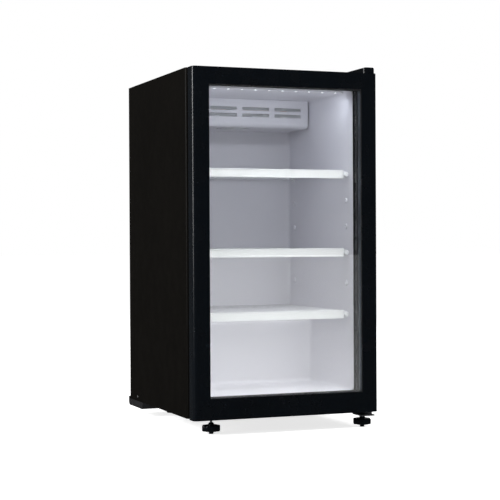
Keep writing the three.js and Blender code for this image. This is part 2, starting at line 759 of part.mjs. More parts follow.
function addTopHinge() {
  const under = HEIGHT + GAP;
  const plate = alongZ(rectangle([430, 455], [6, 120], 3), [under, under + 3]);
  const pin = cylinder(PIN_RADIUS, HINGE, [DOOR_HEIGHT - PIN_REACH, under + 1]);
  part('hinge_plate_top', joined(plate, pin), 'zincSteel');

  const overDoor = DOOR_HEIGHT + 0.6;
  const top = HINGE_COVER_TOP;
  const plan = alongZ(rectangle(HINGE_X, [3, 123], 8), [overDoor, top]);
  const arch = alongY(outline([
    [HINGE_X[0], overDoor],
    [HINGE_X[1], overDoor],
    [HINGE_X[1], top, 7],
    [HINGE_X[0], top, 4],
  ]), [3, 123]);
  const wall = 1.6;
  const hollowX = [HINGE_X[0] + wall, HINGE_X[1] - wall];
  const hollow = alongZ(rectangle(hollowX, [3 + wall, 123 - wall], 2), [overDoor - 1, top - wall - 1]);
  const cabinetTop = block([0, WIDTH], [CABINET_FRONT - 2 * GAP, CABINET_REAR], [overDoor - 1, under]);
  part('hinge_cover_top', cut(common(plan, arch), hollow, cabinetTop), 'blackPlastic');
}

const BRACKET_X = [419, 453];

function addBottomHinge() {
  const plateTop = -7;
  const plate = 3;
  const under = plateTop - plate;
  const strap = alongX(outline([
    [4, under, 1],
    [53, under],
    [60, -GAP - plate],
    [114, -GAP - plate],
    [114, -GAP],
    [57, -GAP],
    [50, plateTop],
    [4, plateTop, 1],
  ]), BRACKET_X);
  const bush = cylinder(7, HINGE, [plateTop - 1, -GAP]);
  const pin = cylinder(PIN_RADIUS, HINGE, [plateTop - 1, PIN_REACH]);
  const studHole = cylinder(STUD_RADIUS + 0.5, RIGHT_FOOT, [under - 1, plateTop + 1]);
  part('hinge_bracket_bottom', cut(joined(strap, bush, pin), studHole), 'zincSteel');
}

// ---------------------------------------------------------------- front levelling feet

const KNOB = { radius: 20.8, lobe: 1.1, lobes: 8, z: [-32, -18], hubTop: -12, nub: 5.5 };

function footKnob(place) {
  const grip = new THREE.Shape();
  const points = 48;
  for (let i = 0; i < points; i += 1) {
    const angle = (2 * Math.PI * i) / points;
    const radius = KNOB.radius + KNOB.lobe * Math.cos(KNOB.lobes * angle);
    const [u, v] = [radius * Math.cos(angle), radius * Math.sin(angle)];
    if (i === 0) grip.moveTo(u, v);
    else grip.lineTo(u, v);
  }
  grip.closePath();
  const wheel = alongZ(grip, KNOB.z);
  wheel.translate(place.x, place.y, 0);
  const core = turned([[0, -FOOT_HEIGHT], [KNOB.nub, -FOOT_HEIGHT], [KNOB.nub, KNOB.z[0] + 1],
    [9, KNOB.z[0] + 1], [9, KNOB.z[1]], [6, KNOB.hubTop], [0, KNOB.hubTop]], place);
  const bore = cylinder(STUD_RADIUS + GAP, place, [KNOB.hubTop - 9, 0], 16);
  return cut(joined(wheel, core), bore);
}

function addFrontFeet() {
  const studBottom = KNOB.hubTop - 8;
  part('foot_stud_left', cylinder(STUD_RADIUS, LEFT_FOOT, [studBottom, 14], 12), 'zincSteel');
  part('foot_stud_right', cylinder(STUD_RADIUS, RIGHT_FOOT, [studBottom, -3], 12), 'zincSteel');
  part('foot_knob_left', footKnob(LEFT_FOOT), 'blackPlastic');
  part('foot_knob_right', footKnob(RIGHT_FOOT), 'blackPlastic');
}

addSidePanels();
addTopAndFloor();
addBackAndBay();
addInsulation();
addLiner();
addFrontTrim();
addBaseTray();
addRearFeet();
addRearCover();
addRearControls();
addCompressor();
addEvaporationTray();
addCondenser();
addEvaporator();
addFan();
addLamp();
addShelves();
addDoor();
addTopHinge();
addBottomHinge();
addFrontFeet();

const group = new THREE.Group();
group.name = 'glass_door_merchandiser';
group.add(placed);

export default group;
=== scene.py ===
"""Looks for the glass door merchandiser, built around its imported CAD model. Metres, +Z up."""

import json
import math

import bmesh
import bpy
from mathutils import Matrix, Vector


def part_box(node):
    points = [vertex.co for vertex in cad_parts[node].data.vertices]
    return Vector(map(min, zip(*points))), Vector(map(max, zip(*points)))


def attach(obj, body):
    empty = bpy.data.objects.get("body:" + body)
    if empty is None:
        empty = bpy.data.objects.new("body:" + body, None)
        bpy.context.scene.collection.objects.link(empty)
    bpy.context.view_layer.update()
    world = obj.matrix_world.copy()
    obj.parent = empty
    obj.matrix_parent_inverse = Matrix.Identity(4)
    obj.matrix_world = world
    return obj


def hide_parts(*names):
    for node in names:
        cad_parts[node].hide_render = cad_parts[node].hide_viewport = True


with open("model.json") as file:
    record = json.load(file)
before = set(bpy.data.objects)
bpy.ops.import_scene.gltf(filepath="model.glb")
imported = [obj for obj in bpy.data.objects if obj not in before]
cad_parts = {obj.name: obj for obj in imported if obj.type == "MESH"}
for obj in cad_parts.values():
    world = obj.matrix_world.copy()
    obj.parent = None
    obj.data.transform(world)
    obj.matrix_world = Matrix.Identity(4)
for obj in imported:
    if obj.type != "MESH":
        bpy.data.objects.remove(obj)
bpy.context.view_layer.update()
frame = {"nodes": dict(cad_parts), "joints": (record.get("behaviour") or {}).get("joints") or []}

MM = 0.001
scene = bpy.context.scene
scene.view_settings.view_transform = "Standard"


# ---- where the CAD says things are


class Box:
    """A CAD node's box: low and high corners, middle and size."""

    def __init__(self, *nodes):
        corners = [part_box(node) for node in nodes]
        self.lo = Vector([min(low[i] for low, _ in corners) for i in range(3)])
        self.hi = Vector([max(high[i] for _, high in corners) for i in range(3)])
        self.mid = (self.lo + self.hi) / 2
        self.size = self.hi - self.lo


def mm(*points):
    """Points given in millimetres, as metres."""
    return [tuple(value * MM for value in point) for point in points]


def spread(low, high, count):
    """Evenly spaced values from low to high, both included."""
    return [low + (high - low) * i / (count - 1) for i in range(count)]


RIGHT, BACK, UP = Vector((1, 0, 0)), Vector((0, 1, 0)), Vector((0, 0, 1))
SHARP_ANGLE = 38
LEVELS = ("top", "middle", "bottom")
door = Box("door_frame")
cabinet = Box("side_panel_left", "side_panel_right")
liner = Box("inner_liner")
tray = Box("base_tray")
cover = Box("rear_cover")
joints = {joint["name"]: joint for joint in frame["joints"]}


# ---- material nodes


class Paper:
    """A material's node sheet: adds nodes and links them by name."""

    def __init__(self, name):
        self.material = bpy.data.materials.new(name)
        self.material.use_nodes = True
        self.tree = self.material.node_tree
        self.shader = self.tree.nodes["Principled BSDF"]
        self.coords = self.node("ShaderNodeTexCoord").outputs["Object"]

    def node(self, kind, **settings):
        made = self.tree.nodes.new(kind)
        for key, value in settings.items():
            setattr(made, key, value)
        return made

    def link(self, source, target):
        self.tree.links.new(source, target)

    def noise(self, scale, detail=3.0, stretch=(1, 1, 1)):
        mapping = self.node("ShaderNodeMapping")
        mapping.inputs["Scale"].default_value = stretch
        self.link(self.coords, mapping.inputs["Vector"])
        texture = self.node("ShaderNodeTexNoise")
        texture.inputs["Scale"].default_value = scale
        texture.inputs["Detail"].default_value = detail
        self.link(mapping.outputs["Vector"], texture.inputs["Vector"])
        return texture.outputs["Fac"]

    def cells(self, scale, output="Color"):
        texture = self.node("ShaderNodeTexVoronoi")
        texture.inputs["Scale"].default_value = scale
        self.link(self.coords, texture.inputs["Vector"])
        return texture.outputs[output]

    def ramp(self, value, stops):
        """stops: (position, colour) pairs."""
        made = self.node("ShaderNodeValToRGB")
        elements = made.color_ramp.elements
        while len(elements) < len(stops):
            elements.new(0.5)
        for element, (position, colour) in zip(elements, stops):
            element.position = position
            element.color = (*colour, 1)
        self.link(value, made.inputs["Fac"])
        return made.outputs["Color"]

    def span(self, value, low, high, from_low=0.3, from_high=0.7):
        made = self.node("ShaderNodeMapRange")
        made.inputs["From Min"].default_value = from_low
        made.inputs["From Max"].default_value = from_high
        made.inputs["To Min"].default_value = low
        made.inputs["To Max"].default_value = high
        self.link(value, made.inputs["Value"])
        return made.outputs["Result"]

    def bump(self, height, strength, distance, after=None):
        made = self.node("ShaderNodeBump")
        made.inputs["Strength"].default_value = strength
        made.inputs["Distance"].default_value = distance
        self.link(height, made.inputs["Height"])
        if after is not None:
            self.link(after, made.inputs["Normal"])
        return made.outputs["Normal"]

    def painted_edge_highlight(self, colour, highlight_colour, amount):
        """Mixes in a lighter colour on convex edges, broken up by noise: a painted highlight along the edges.
        """
        edge = self.node("ShaderNodeNewGeometry").outputs["Pointiness"]
        mask = self.span(edge, 0.0, amount, 0.5, 0.62)
        patchy = self.node("ShaderNodeMath", operation="MULTIPLY")
        self.link(mask, patchy.inputs[0])
        self.link(self.span(self.noise(140), 0.3, 1.0), patchy.inputs[1])
        mix = self.node("ShaderNodeMix", data_type="RGBA")
        self.link(patchy.outputs[0], mix.inputs["Factor"])
        self.link(colour, mix.inputs["A"])
        mix.inputs["B"].default_value = (*highlight_colour, 1)
        return mix.outputs["Result"]

    def set(self, **sockets):
        for name, value in sockets.items():
            socket = self.shader.inputs[name.replace("_", " ")]
            if hasattr(value, "links"):
                self.link(value, socket)
            else:
                socket.default_value = value


def shade(colour, factor):
    return tuple(min(1.0, channel * factor) for channel in colour)


def coating(name, colour, roughness, grain, depth, spread=0.12, edge_highlight=0.25, **extra):
    """Paint or moulded plastic: mottled colour, uneven gloss, fine grain and a painted highlight on convex
    edges.
    """
    paper = Paper(name)
    broad = paper.noise(7, 4)
    tone = paper.ramp(broad, [(0.3, shade(colour, 1 - spread)), (0.7, shade(colour, 1 + spread))])
    # The lighter colour mixed in on convex edges here is a painted highlight.
    tone = paper.painted_edge_highlight(tone, shade(colour, 1.8), edge_highlight)
    gloss = paper.span(paper.noise(23, 5), roughness - 0.05, roughness + 0.06)
    fine = paper.bump(paper.noise(grain, 2), 0.35, depth)
    wavy = paper.bump(paper.noise(16, 1), 0.12, 0.4 * MM, after=fine)
    paper.set(Base_Color=tone, Roughness=gloss, Normal=wavy, **extra)
    return paper.material


def metal(name, colour, roughness, stretch=(1, 1, 1), spread=0.18, grain=420):
    """Bare metal with drawn or rolled lines along one direction."""
    paper = Paper(name)
    lines = paper.noise(grain, 3, stretch)
    blotch = paper.noise(18, 4)
    tone = paper.ramp(blotch, [(0.3, shade(colour, 1 - spread)), (0.7, shade(colour, 1 + spread))])
    gloss = paper.span(lines, roughness - 0.08, roughness + 0.12)
    paper.set(Base_Color=tone, Roughness=gloss, Metallic=1.0,
              Normal=paper.bump(lines, 0.2, 0.05 * MM))
    return paper.material


def galvanised(name):
    """Zinc-coated sheet with its spangle of crystal patches."""
    paper = Paper(name)
    grey = paper.node("ShaderNodeRGBToBW")
    paper.link(paper.cells(150), grey.inputs["Color"])
    tone = paper.ramp(grey.outputs["Val"], [(0.2, (0.33, 0.35, 0.37)), (0.8, (0.43, 0.45, 0.47))])
    gloss = paper.span(grey.outputs["Val"], 0.36, 0.5, 0.2, 0.8)
    fine = paper.bump(paper.noise(300, 3), 0.15, 0.05 * MM)
    paper.set(Base_Color=tone, Roughness=gloss, Metallic=0.45, Normal=fine)
    return paper.material


def pane(name, tint):
    """Clear float glass: a faint film makes its gloss uneven."""
    paper = Paper(name)
    film = paper.span(paper.noise(9, 5), 0.0, 0.035, 0.35, 0.75)
    paper.set(Base_Color=(*tint, 1), Roughness=film, Transmission_Weight=1.0, IOR=1.5)
    return paper.material


def glowing(name, colour, strength):
    """A frosted lamp cover, lit from inside and ribbed along its length."""
    paper = Paper(name)
    ribs = paper.node("ShaderNodeTexWave", bands_direction="Y")
    ribs.inputs["Scale"].default_value = 220
    paper.link(paper.coords, ribs.inputs["Vector"])
    soft = paper.span(paper.noise(30, 2), 0.25, 0.4)
    tone = paper.ramp(paper.noise(12, 2), [(0.3, shade(colour, 0.92)), (0.7, colour)])
    paper.set(Base_Color=tone, Roughness=soft, Normal=paper.bump(ribs.outputs["Fac"], 0.3, 0.3 * MM),
              Emission_Color=(*colour, 1), Emission_Strength=strength)
    return paper.material


def foamed(name, colour):
    """Cut polyurethane foam: small open cells and a darker skin in patches."""
    paper = Paper(name)
    tone = paper.ramp(paper.noise(25, 6), [(0.3, shade(colour, 0.7)), (0.7, shade(colour, 1.1))])
    pores = paper.cells(700, output="Distance")
    paper.set(Base_Color=tone, Roughness=0.9, Normal=paper.bump(pores, 0.6, 0.4 * MM))
    return paper.material


def perforated(name):
    """The aluminium spacer between the panes, with its punched line of breathing holes drawn as dots of
    painted shade.
    """
    paper = Paper(name)
    lines = paper.noise(500, 2, (0.1, 3, 0.1))
    dots = paper.cells(420, output="Distance")
    # The near-black dots are painted shade standing in for the holes.
    hole_shade = paper.ramp(dots, [(0.16, (0.02, 0.02, 0.024)), (0.2, (0.09, 0.11, 0.125))])
    paper.set(Base_Color=hole_shade, Roughness=paper.span(lines, 0.3, 0.5), Metallic=1.0,
              Normal=paper.bump(lines, 0.2, 0.05 * MM))
    return paper.material


LOOKS = {
    "shell_paint": coating("shell_paint", (0.0026, 0.0022, 0.0017), 0.4, 1500, 0.06 * MM,
                           Specular_IOR_Level=0.05),
    "black_plastic": coating("black_plastic", (0.0012, 0.0022, 0.0036), 0.25, 2200, 0.04 * MM,
                             Specular_IOR_Level=0.26),
    "black_steel": coating("black_steel", (0.009, 0.009, 0.010), 0.3, 700, 0.05 * MM),
    "liner": coating("liner", (0.76, 0.75, 0.80), 0.38, 900, 0.05 * MM, 0.02, 0.0),
    "white_plastic": coating("white_plastic", (0.84, 0.85, 0.87), 0.28, 1600, 0.03 * MM, 0.02, 0.0),
    "shelf_wire": coating("shelf_wire", (0.80, 0.80, 0.83), 0.22, 400, 0.08 * MM, 0.03, 0.0,
                          Coat_Weight=0.3),
    "gasket": coating("gasket", (0.010, 0.010, 0.011), 0.62, 900, 0.08 * MM, 0.2),
    "rubber": coating("rubber", (0.014, 0.014, 0.015), 0.75, 700, 0.12 * MM, 0.25),
    "zinc": metal("zinc", (0.45, 0.46, 0.48), 0.33, (6, 0.4, 1)),
    "screw_steel": metal("screw_steel", (0.62, 0.63, 0.65), 0.25, (1, 1, 4)),
    "copper": metal("copper", (0.74, 0.36, 0.20), 0.3, (1, 1, 1), 0.3),
    "aluminium": metal("aluminium", (0.72, 0.73, 0.75), 0.32, (8, 1, 0.4)),
    "galvanised": galvanised("galvanised"),
    "spacer_metal": perforated("spacer_metal"),
    "glass": pane("glass", (0.980, 0.990, 0.986)),
    "foam": foamed("foam", (0.62, 0.50, 0.22)),
    "diffuser": glowing("diffuser", (0.80, 0.80, 0.86), 0.08),
    "led": glowing("led", (0.95, 0.97, 1.0), 3.0),
    "paper_card": coating("paper_card", (0.88, 0.885, 0.90), 0.6, 1200, 0.02 * MM, 0.015, 0.0),
}


# ---- mesh helpers


def mesh_of(bm, name):
    bmesh.ops.remove_doubles(bm, verts=bm.verts, dist=1e-6)
    bmesh.ops.recalc_face_normals(bm, faces=bm.faces)
    data = bpy.data.meshes.new(name)
    bm.to_mesh(data)
    bm.free()
    return data


def weld(obj):
    """Joins the points that share a place."""
    modifier = obj.modifiers.new("weld", "WELD")
    modifier.merge_threshold = 1e-6


def round_edges(obj, width, segments, angle):
    """Bevels the sharp edges, and keeps big flat faces flat in the shading beside them."""
    bevel = obj.modifiers.new("edges", "BEVEL")
    bevel.width = width
    bevel.segments = segments
    bevel.limit_method = "ANGLE"
    bevel.angle_limit = math.radians(angle)
    bevel.use_clamp_overlap = True
    normals = obj.modifiers.new("normals", "WEIGHTED_NORMAL")
    normals.weight = 100
    normals.keep_sharp = True


def soften(obj, width, segments, angle):
    """Rounds the sharp edges by a small radius, or only marks them where the width is zero."""
    data = obj.data
    data.shade_smooth()
    if width > 0:
        weld(obj)
        round_edges(obj, width, segments, angle)
    else:
        data.set_sharp_from_angle(angle=math.radians(angle))


def piece(name, data, look, body, stands_for=(), bevel=0.0, segments=2, angle=SHARP_ANGLE):
    """Adds a finished piece that rides on a CAD body and takes its finish from a slot."""
    obj = bpy.data.objects.new(name, data)
    scene.collection.objects.link(obj)
    data.materials.clear()
    data.materials.append(LOOKS[look])
    if obj.type == "MESH":
        soften(obj, bevel, segments, angle)
    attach(obj, body)
    if stands_for:
        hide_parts(*stands_for)
    return obj


def rounded(corners, steps=5):
    """A closed outline of (u, v, fillet radius) corners, with each fillet as an arc."""
    points = []
    count = len(corners)
    for i, (u, v, radius) in enumerate(corners):
        corner = Vector((u, v))
        back = (Vector(corners[i - 1][:2]) - corner).normalized()
        onward = (Vector(corners[(i + 1) % count][:2]) - corner).normalized()
        half = math.acos(max(-1, min(1, back.dot(onward)))) / 2
        if radius <= 0 or half < 0.01:
            points.append(corner)
            continue
        centre = corner + (back + onward).normalized() * radius / math.sin(half)
        start = corner + back * radius / math.tan(half) - centre
        end = corner + onward * radius / math.tan(half) - centre
        sweep = start.angle_signed(end)
        for k in range(steps + 1):
            turn = Matrix.Rotation(-sweep * k / steps, 2)
            points.append(centre + turn @ start)
    return points


def lofted(bm, rings):
    """Joins rings of points into one closed body, with a flat cap at each end."""
    rings = [[bm.verts.new(point) for point in ring] for ring in rings]
    bm.faces.new(rings[0])
    bm.faces.new(reversed(rings[-1]))
    for a, b in zip(rings, rings[1:]):
        for i in range(len(a)):
            j = (i + 1) % len(a)
            bm.faces.new((a[i], a[j], b[j], b[i]))


def extruded(points, low, high):
    """A bar along X from low to high, whose section is an outline of (y, z) points."""
    bm = bmesh.new()
    lofted(bm, [[(x, y, z) for y, z in points] for x in (low, high)])
    return mesh_of(bm, "extrusion")


def mitred_ring(section, y, outer):
    """Sweeps a section round an upright rectangle (x0, x1, z0, z1).

    The section's points are (inset, rise) in millimetres, with the rise measured back from y.
    """
    x0, x1, z0, z1 = outer
    bm = bmesh.new()
    loops = []
    for x, z, inward_x, inward_z in ((x0, z0, 1, 1), (x1, z0, -1, 1), (x1, z1, -1, -1), (x0, z1, 1, -1)):
        loop = []
        for inset, rise in mm(*section):
            loop.append(bm.verts.new((x + inward_x * inset, y + rise, z + inward_z * inset)))
        loops.append(loop)
    count = len(section)
    for i in range(4):
        here, there = loops[i], loops[(i + 1) % 4]
        for k in range(count):
            m = (k + 1) % count
            bm.faces.new((here[k], here[m], there[m], there[k]))
    return mesh_of(bm, "ring")


def turned_into(bm, profile, place, along, sides=32, lobes=0):
    """Adds a turned body; a profile point is (radius, height) or (radius, height, lobe depth)."""
    along = Vector(along).normalized()
    turn = along.to_track_quat("Z", "Y")
    rings = []
    for radius, height, *depth in profile:
        if radius <= 1e-9:
            rings.append([bm.verts.new(Vector(place) + turn @ Vector((0, 0, height)))])
            continue
        ring = []
        for i in range(sides):
            angle = 2 * math.pi * i / sides
            r = radius + (depth[0] * math.cos(lobes * angle) if depth else 0)
            offset = Vector((r * math.cos(angle), r * math.sin(angle), height))
            ring.append(bm.verts.new(Vector(place) + turn @ offset))
        rings.append(ring)
    for low, high in zip(rings, rings[1:]):
        for i in range(sides):
            j = (i + 1) % sides
            corners = [low[i % len(low)], low[j % len(low)], high[j % len(high)], high[i % len(high)]]
            bm.faces.new(list(dict.fromkeys(corners)))


def turned(profile, place, along=UP, sides=32, lobes=0):
    """A turned body as a mesh of its own, about a line from place along a direction."""
    bm = bmesh.new()
    turned_into(bm, profile, place, along, sides, lobes)
    return mesh_of(bm, "turned")


def rods(pairs, radius, sides=10):
    """Round bars between pairs of points, with softly rounded ends, as one mesh."""
    bm = bmesh.new()
    for start, end in pairs:
        start, end = Vector(start), Vector(end)
        length = (end - start).length
        r = radius
        profile = [(0, 0), (r * 0.7, 0), (r, r * 0.4), (r, length - r * 0.4), (r * 0.7, length), (0, length)]
        turned_into(bm, profile, start, end - start, sides)
    return mesh_of(bm, "rods")


def blocks(boxes):
    """Upright boxes from (low corner, high corner) pairs, as one mesh."""
    bm = bmesh.new()
    for low, high in boxes:
        low, high = Vector(low), Vector(high)
        move = Matrix.Translation((low + high) / 2) @ Matrix.Diagonal((*(high - low), 1))
        bmesh.ops.create_cube(bm, size=1.0, matrix=move)
    return mesh_of(bm, "blocks")


def bent(points, bend, closed=False):
    """A route through points with each corner rounded; a closed route bends at every point."""
    points = [Vector(point) for point in points]
    corners = zip(points[-1:] + points[:-1], points, points[1:] + points[:1])
    route = []
    for i, (before, corner, after) in enumerate(corners):
        if not closed and i in (0, len(points) - 1):
            route.append(corner)
            continue
        back, onward = before - corner, after - corner
        reach = min(bend, back.length * 0.45, onward.length * 0.45)
        start, end = corner + back.normalized() * reach, corner + onward.normalized() * reach
        for k in range(7):
            t = k / 6
            route.append(start.lerp(corner, t).lerp(corner.lerp(end, t), t))
    return route


def pipe(name, route, radius, look, body, stands_for=(), closed=False):
    """A round tube or bar along a route."""
    curve = bpy.data.curves.new(name, "CURVE")
    curve.dimensions = "3D"
    curve.bevel_depth = radius
    curve.bevel_resolution = 3
    curve.use_fill_caps = not closed
    spline = curve.splines.new("POLY")
    spline.points.add(len(route) - 1)
    for point, place in zip(spline.points, route):
        point.co = (*place, 1)
    spline.use_cyclic_u = closed
    spline.use_smooth = True
    return piece(name, curve, look, body, stands_for)


def serpentine(x, y, z, runs):
    """Straight runs along X joined by half-circle bends in an upright plane."""
    steps = 10
    pitch = (z[1] - z[0]) / (runs - 1)
    radius = pitch / 2
    points = []
    for run in range(runs):
        heading = 1 if run % 2 == 0 else -1
        near, far = (x[0] + radius, x[1] - radius)[::heading]
        level = z[0] + run * pitch
        points += [(near, y, level), (far, y, level)]
        if run == runs - 1:
            break
        for k in range(1, steps):
            angle = math.pi * k / steps
            out = heading * radius * math.sin(angle)
            points.append((far + out, y, level + radius * (1 - math.cos(angle))))
    return points


def screw(name, place, along, radius, body, height=None):
    """A pan-head screw with a cross recess, its head standing on place along a direction."""
    r, h = radius, height or radius * 0.5
    profile = [(0, -0.1 * h), (r, -0.1 * h), (r, 0.2 * h), (0.93 * r, 0.6 * h), (0.72 * r, 0.9 * h),
               (0.50 * r, h, 0.13 * r), (0.36 * r, h, 0.16 * r), (0.22 * r, 0.24 * h, 0.08 * r),
               (0, 0.1 * h)]
    return piece(name, turned(profile, place, along, 32, 4), "screw_steel", body)


# ---- camera, light and floor


def add_camera():
    """The photograph's view: close to level, from the front left, through a long lens."""
    azimuth, down, roll = math.radians(-21.3826), math.radians(0.3695), math.radians(-0.2826)
    camera = bpy.data.objects.new("camera", bpy.data.cameras.new("camera"))
    scene.collection.objects.link(camera)
    camera.location = (-1.2296, -3.1603, 0.442)
    ahead = Vector((-math.sin(azimuth) * math.cos(down), math.cos(azimuth) * math.cos(down), -math.sin(down)))
    level_right = Vector((math.cos(azimuth), math.sin(azimuth), 0))
    level_up = level_right.cross(ahead)
    right = level_right * math.cos(roll) + level_up * math.sin(roll)
    up = level_up * math.cos(roll) - level_right * math.sin(roll)
    camera.rotation_mode = "QUATERNION"
    camera.rotation_quaternion = Matrix((right, up, -ahead)).transposed().to_quaternion()
    camera.data.sensor_width = 36
    camera.data.lens = 98.627
    camera.data.clip_end = 100
    scene.camera = camera


def softbox(name, place, target, width, height, watts, colour=(1, 1, 1)):
    lamp = bpy.data.lights.new(name, "AREA")
    lamp.shape = "RECTANGLE"
    lamp.size, lamp.size_y = width, height
    lamp.energy = watts
    lamp.color = colour
    obj = bpy.data.objects.new(name, lamp)
    scene.collection.objects.link(obj)
    obj.location = place
    obj.rotation_mode = "QUATERNION"
    obj.rotation_quaternion = (Vector(target) - Vector(place)).to_track_quat("-Z", "Y")
    return obj


def add_world():
    """White to the camera, a soft even fill for the surfaces, and little for the gloss."""
    world = bpy.data.worlds.new("studio")
    world.use_nodes = True
    tree = world.node_tree
    tree.nodes.clear()
    ray = tree.nodes.new("ShaderNodeLightPath")
    level = tree.nodes.new("ShaderNodeMix")
    level.data_type = "FLOAT"
    level.inputs["A"].default_value = 0.34
    level.inputs["B"].default_value = 0.055
    tree.links.new(ray.outputs["Is Glossy Ray"], level.inputs["Factor"])
    seen = tree.nodes.new("ShaderNodeMix")
    seen.data_type = "FLOAT"
    seen.inputs["B"].default_value = 1.0
    tree.links.new(ray.outputs["Is Camera Ray"], seen.inputs["Factor"])
    tree.links.new(level.outputs["Result"], seen.inputs["A"])
    background = tree.nodes.new("ShaderNodeBackground")
    background.inputs["Color"].default_value = (1, 1, 1, 1)
    tree.links.new(seen.outputs["Result"], background.inputs["Strength"])
    output = tree.nodes.new("ShaderNodeOutputWorld")
    tree.links.new(background.outputs["Background"], output.inputs["Surface"])
    scene.world = world


def add_floor():
    """A wide pale disc at the height the feet stand on."""
    bm = bmesh.new()
    bmesh.ops.create_circle(bm, cap_ends=True, segments=96, radius=40)
    floor = bpy.data.objects.new("floor", mesh_of(bm, "floor"))
    scene.collection.objects.link(floor)
    paper = Paper("floor")
    tone = paper.ramp(paper.noise(0.8, 2), [(0.3, (0.93, 0.93, 0.93)), (0.7, (0.95, 0.95, 0.95))])
    paper.set(Base_Color=tone, Roughness=0.85, Specular_IOR_Level=0.1,
              Emission_Color=(1, 1, 1, 1), Emission_Strength=0.76)
    floor.data.materials.append(paper.material)
    floor.visible_glossy = False


def add_lights():
    middle = (0, 0, 0.45)
    softbox("edge_light", (-2.75, -0.15, 0.95), middle, 0.4, 1.1, 34)
    softbox("edge_light_high", (-2.75, -0.15, 1.45), middle, 0.4, 0.7, 26)
    softbox("key_light", (0.1, -2.3, 3.1), middle, 1.6, 1.0, 61)
    softbox("back_light_left", (-3.4, 1.2, 2.2), middle, 1.0, 1.0, 25)
    softbox("back_light_right", (2.2, 2.6, 2.2), middle, 1.2, 1.2, 50)
    lamp = Box("lamp_diffuser")
    under = Vector((lamp.mid.x, lamp.mid.y + 12 * MM, lamp.lo.z - 2 * MM))
    inside = softbox("cabinet_lamp", under, (under.x, under.y + 0.25, under.z - 0.55),
                     lamp.size.x * 0.95, 12 * MM, 0.33, (0.88, 0.92, 1.0))
    inside.visible_glossy = False


# ---- liner and what hangs in it


def add_liner():
    """The vacuum-formed liner: one thin skin, every inner corner rounded, with a flange in front."""
    wall, corner = 1.5 * MM, 9 * MM
    x0, x1 = liner.lo.x + wall, liner.hi.x - wall
    y0, y1 = liner.lo.y, liner.hi.y - wall
    z0, z1 = liner.lo.z + wall, liner.hi.z - wall
    bay = Box("compressor_bay_panel")
    step_y, step_z = bay.lo.y - 42.5 * MM, bay.hi.z + 38.8 * MM
    outline = [(y0, z0), (step_y, z0), (step_y, step_z), (y1, step_z), (y1, z1), (y0, z1)]
    bm = bmesh.new()
    sides = [[bm.verts.new((x, y, z)) for y, z in outline] for x in (x0, x1)]
    bm.faces.new(sides[0])
    bm.faces.new(reversed(sides[1]))
    for a, b, c, d in zip(sides[0], sides[1], sides[1][1:] + sides[1][:1], sides[0][1:] + sides[0][:1]):
        bm.faces.new((a, b, c, d))
    bmesh.ops.recalc_face_normals(bm, faces=bm.faces)

    def in_front(part):
        return all(abs(vert.co.y - y0) < 1e-5 for vert in part.verts)

    inner = [edge for edge in bm.edges if not in_front(edge)]
    bmesh.ops.bevel(bm, geom=inner, offset=corner, segments=6, profile=0.5, affect="EDGES")
    mouth = [face for face in bm.faces if in_front(face)]
    flange = bmesh.ops.extrude_face_region(bm, geom=mouth)
    for vert in [part for part in flange["geom"] if isinstance(part, bmesh.types.BMVert)]:
        x, z = vert.co.x, vert.co.z
        if abs(x) > x1 - corner:
            vert.co.x = math.copysign(liner.hi.x, x)
        if z < z0 + corner:
            vert.co.z = liner.lo.z
        elif z > z1 - corner:
            vert.co.z = liner.hi.z
    bmesh.ops.delete(bm, geom=[face for face in flange["geom"] if isinstance(face, bmesh.types.BMFace)],
                     context="FACES")
    bmesh.ops.delete(bm, geom=[face for face in mouth if face.is_valid], context="FACES")
    bmesh.ops.remove_doubles(bm, verts=bm.verts, dist=1e-6)
    bmesh.ops.recalc_face_normals(bm, faces=bm.faces)
    back = max(bm.faces, key=lambda face: face.calc_center_median().y)
    if back.normal.y > 0:
        bmesh.ops.reverse_faces(bm, faces=bm.faces)
    data = bpy.data.meshes.new("inner_liner_skin")
    bm.to_mesh(data)
    bm.free()
    skin = piece("liner_skin", data, "liner", "cabinet", ["inner_liner"])
    shell = skin.modifiers.new("thickness", "SOLIDIFY")
    shell.thickness = wall * 0.8
    shell.offset = -1.0


def add_pegs():
    """Moulded pegs: a flange against the wall, a neck under the shelf's side rod and an end flange."""
    for level in LEVELS:
        for side, inwards in (("left", RIGHT), ("right", -RIGHT)):
            for place in ("front", "rear"):
                node = f"shelf_peg_{level}_{side}_{place}"
                box = Box(node)
                rim, neck, length = box.size.y / 2 / MM, 2.25, box.size.x / MM
                profile = mm((0, 0), (rim - 0.4, 0), (rim, 0.4), (rim, 1.1), (rim - 0.5, 1.7),
                             (neck + 1, 1.9), (neck, 2.6), (neck, 6.8), (neck + 1, 7.5),
                             (rim - 0.6, 7.6), (rim - 0.1, 8.1), (rim - 0.5, length), (0, length))
                wall = box.lo.x if side == "left" else box.hi.x
                data = turned(profile, (wall, box.mid.y, box.mid.z), inwards, 36)
                piece(f"peg_{level}_{side}_{place}", data, "white_plastic", "cabinet", [node])


def add_spare_bosses():
    """Unused places for the pegs: low round bosses moulded on both walls."""
    used = {level: Box(f"shelf_peg_{level}_left_front").mid.z for level in LEVELS}
    third = (used["top"] - used["middle"]) / 3
    heights = (used["top"] - third, used["top"] - 2 * third, (used["middle"] + used["bottom"]) / 2)
    profile = mm((6.5, -0.2), (6.3, 1.6), (5.6, 2.4), (2.6, 2.5), (2.2, 1.2), (0, 1.2))
    wall = 1.5 * MM
    bm = bmesh.new()
    for place in ("front", "rear"):
        y = Box(f"shelf_peg_top_left_{place}").mid.y
        for z in heights:
            turned_into(bm, profile, (liner.lo.x + wall, y, z), RIGHT, 28)
            turned_into(bm, profile, (liner.hi.x - wall, y, z), -RIGHT, 28)
    piece("spare_peg_bosses", mesh_of(bm, "bosses"), "liner", "cabinet")


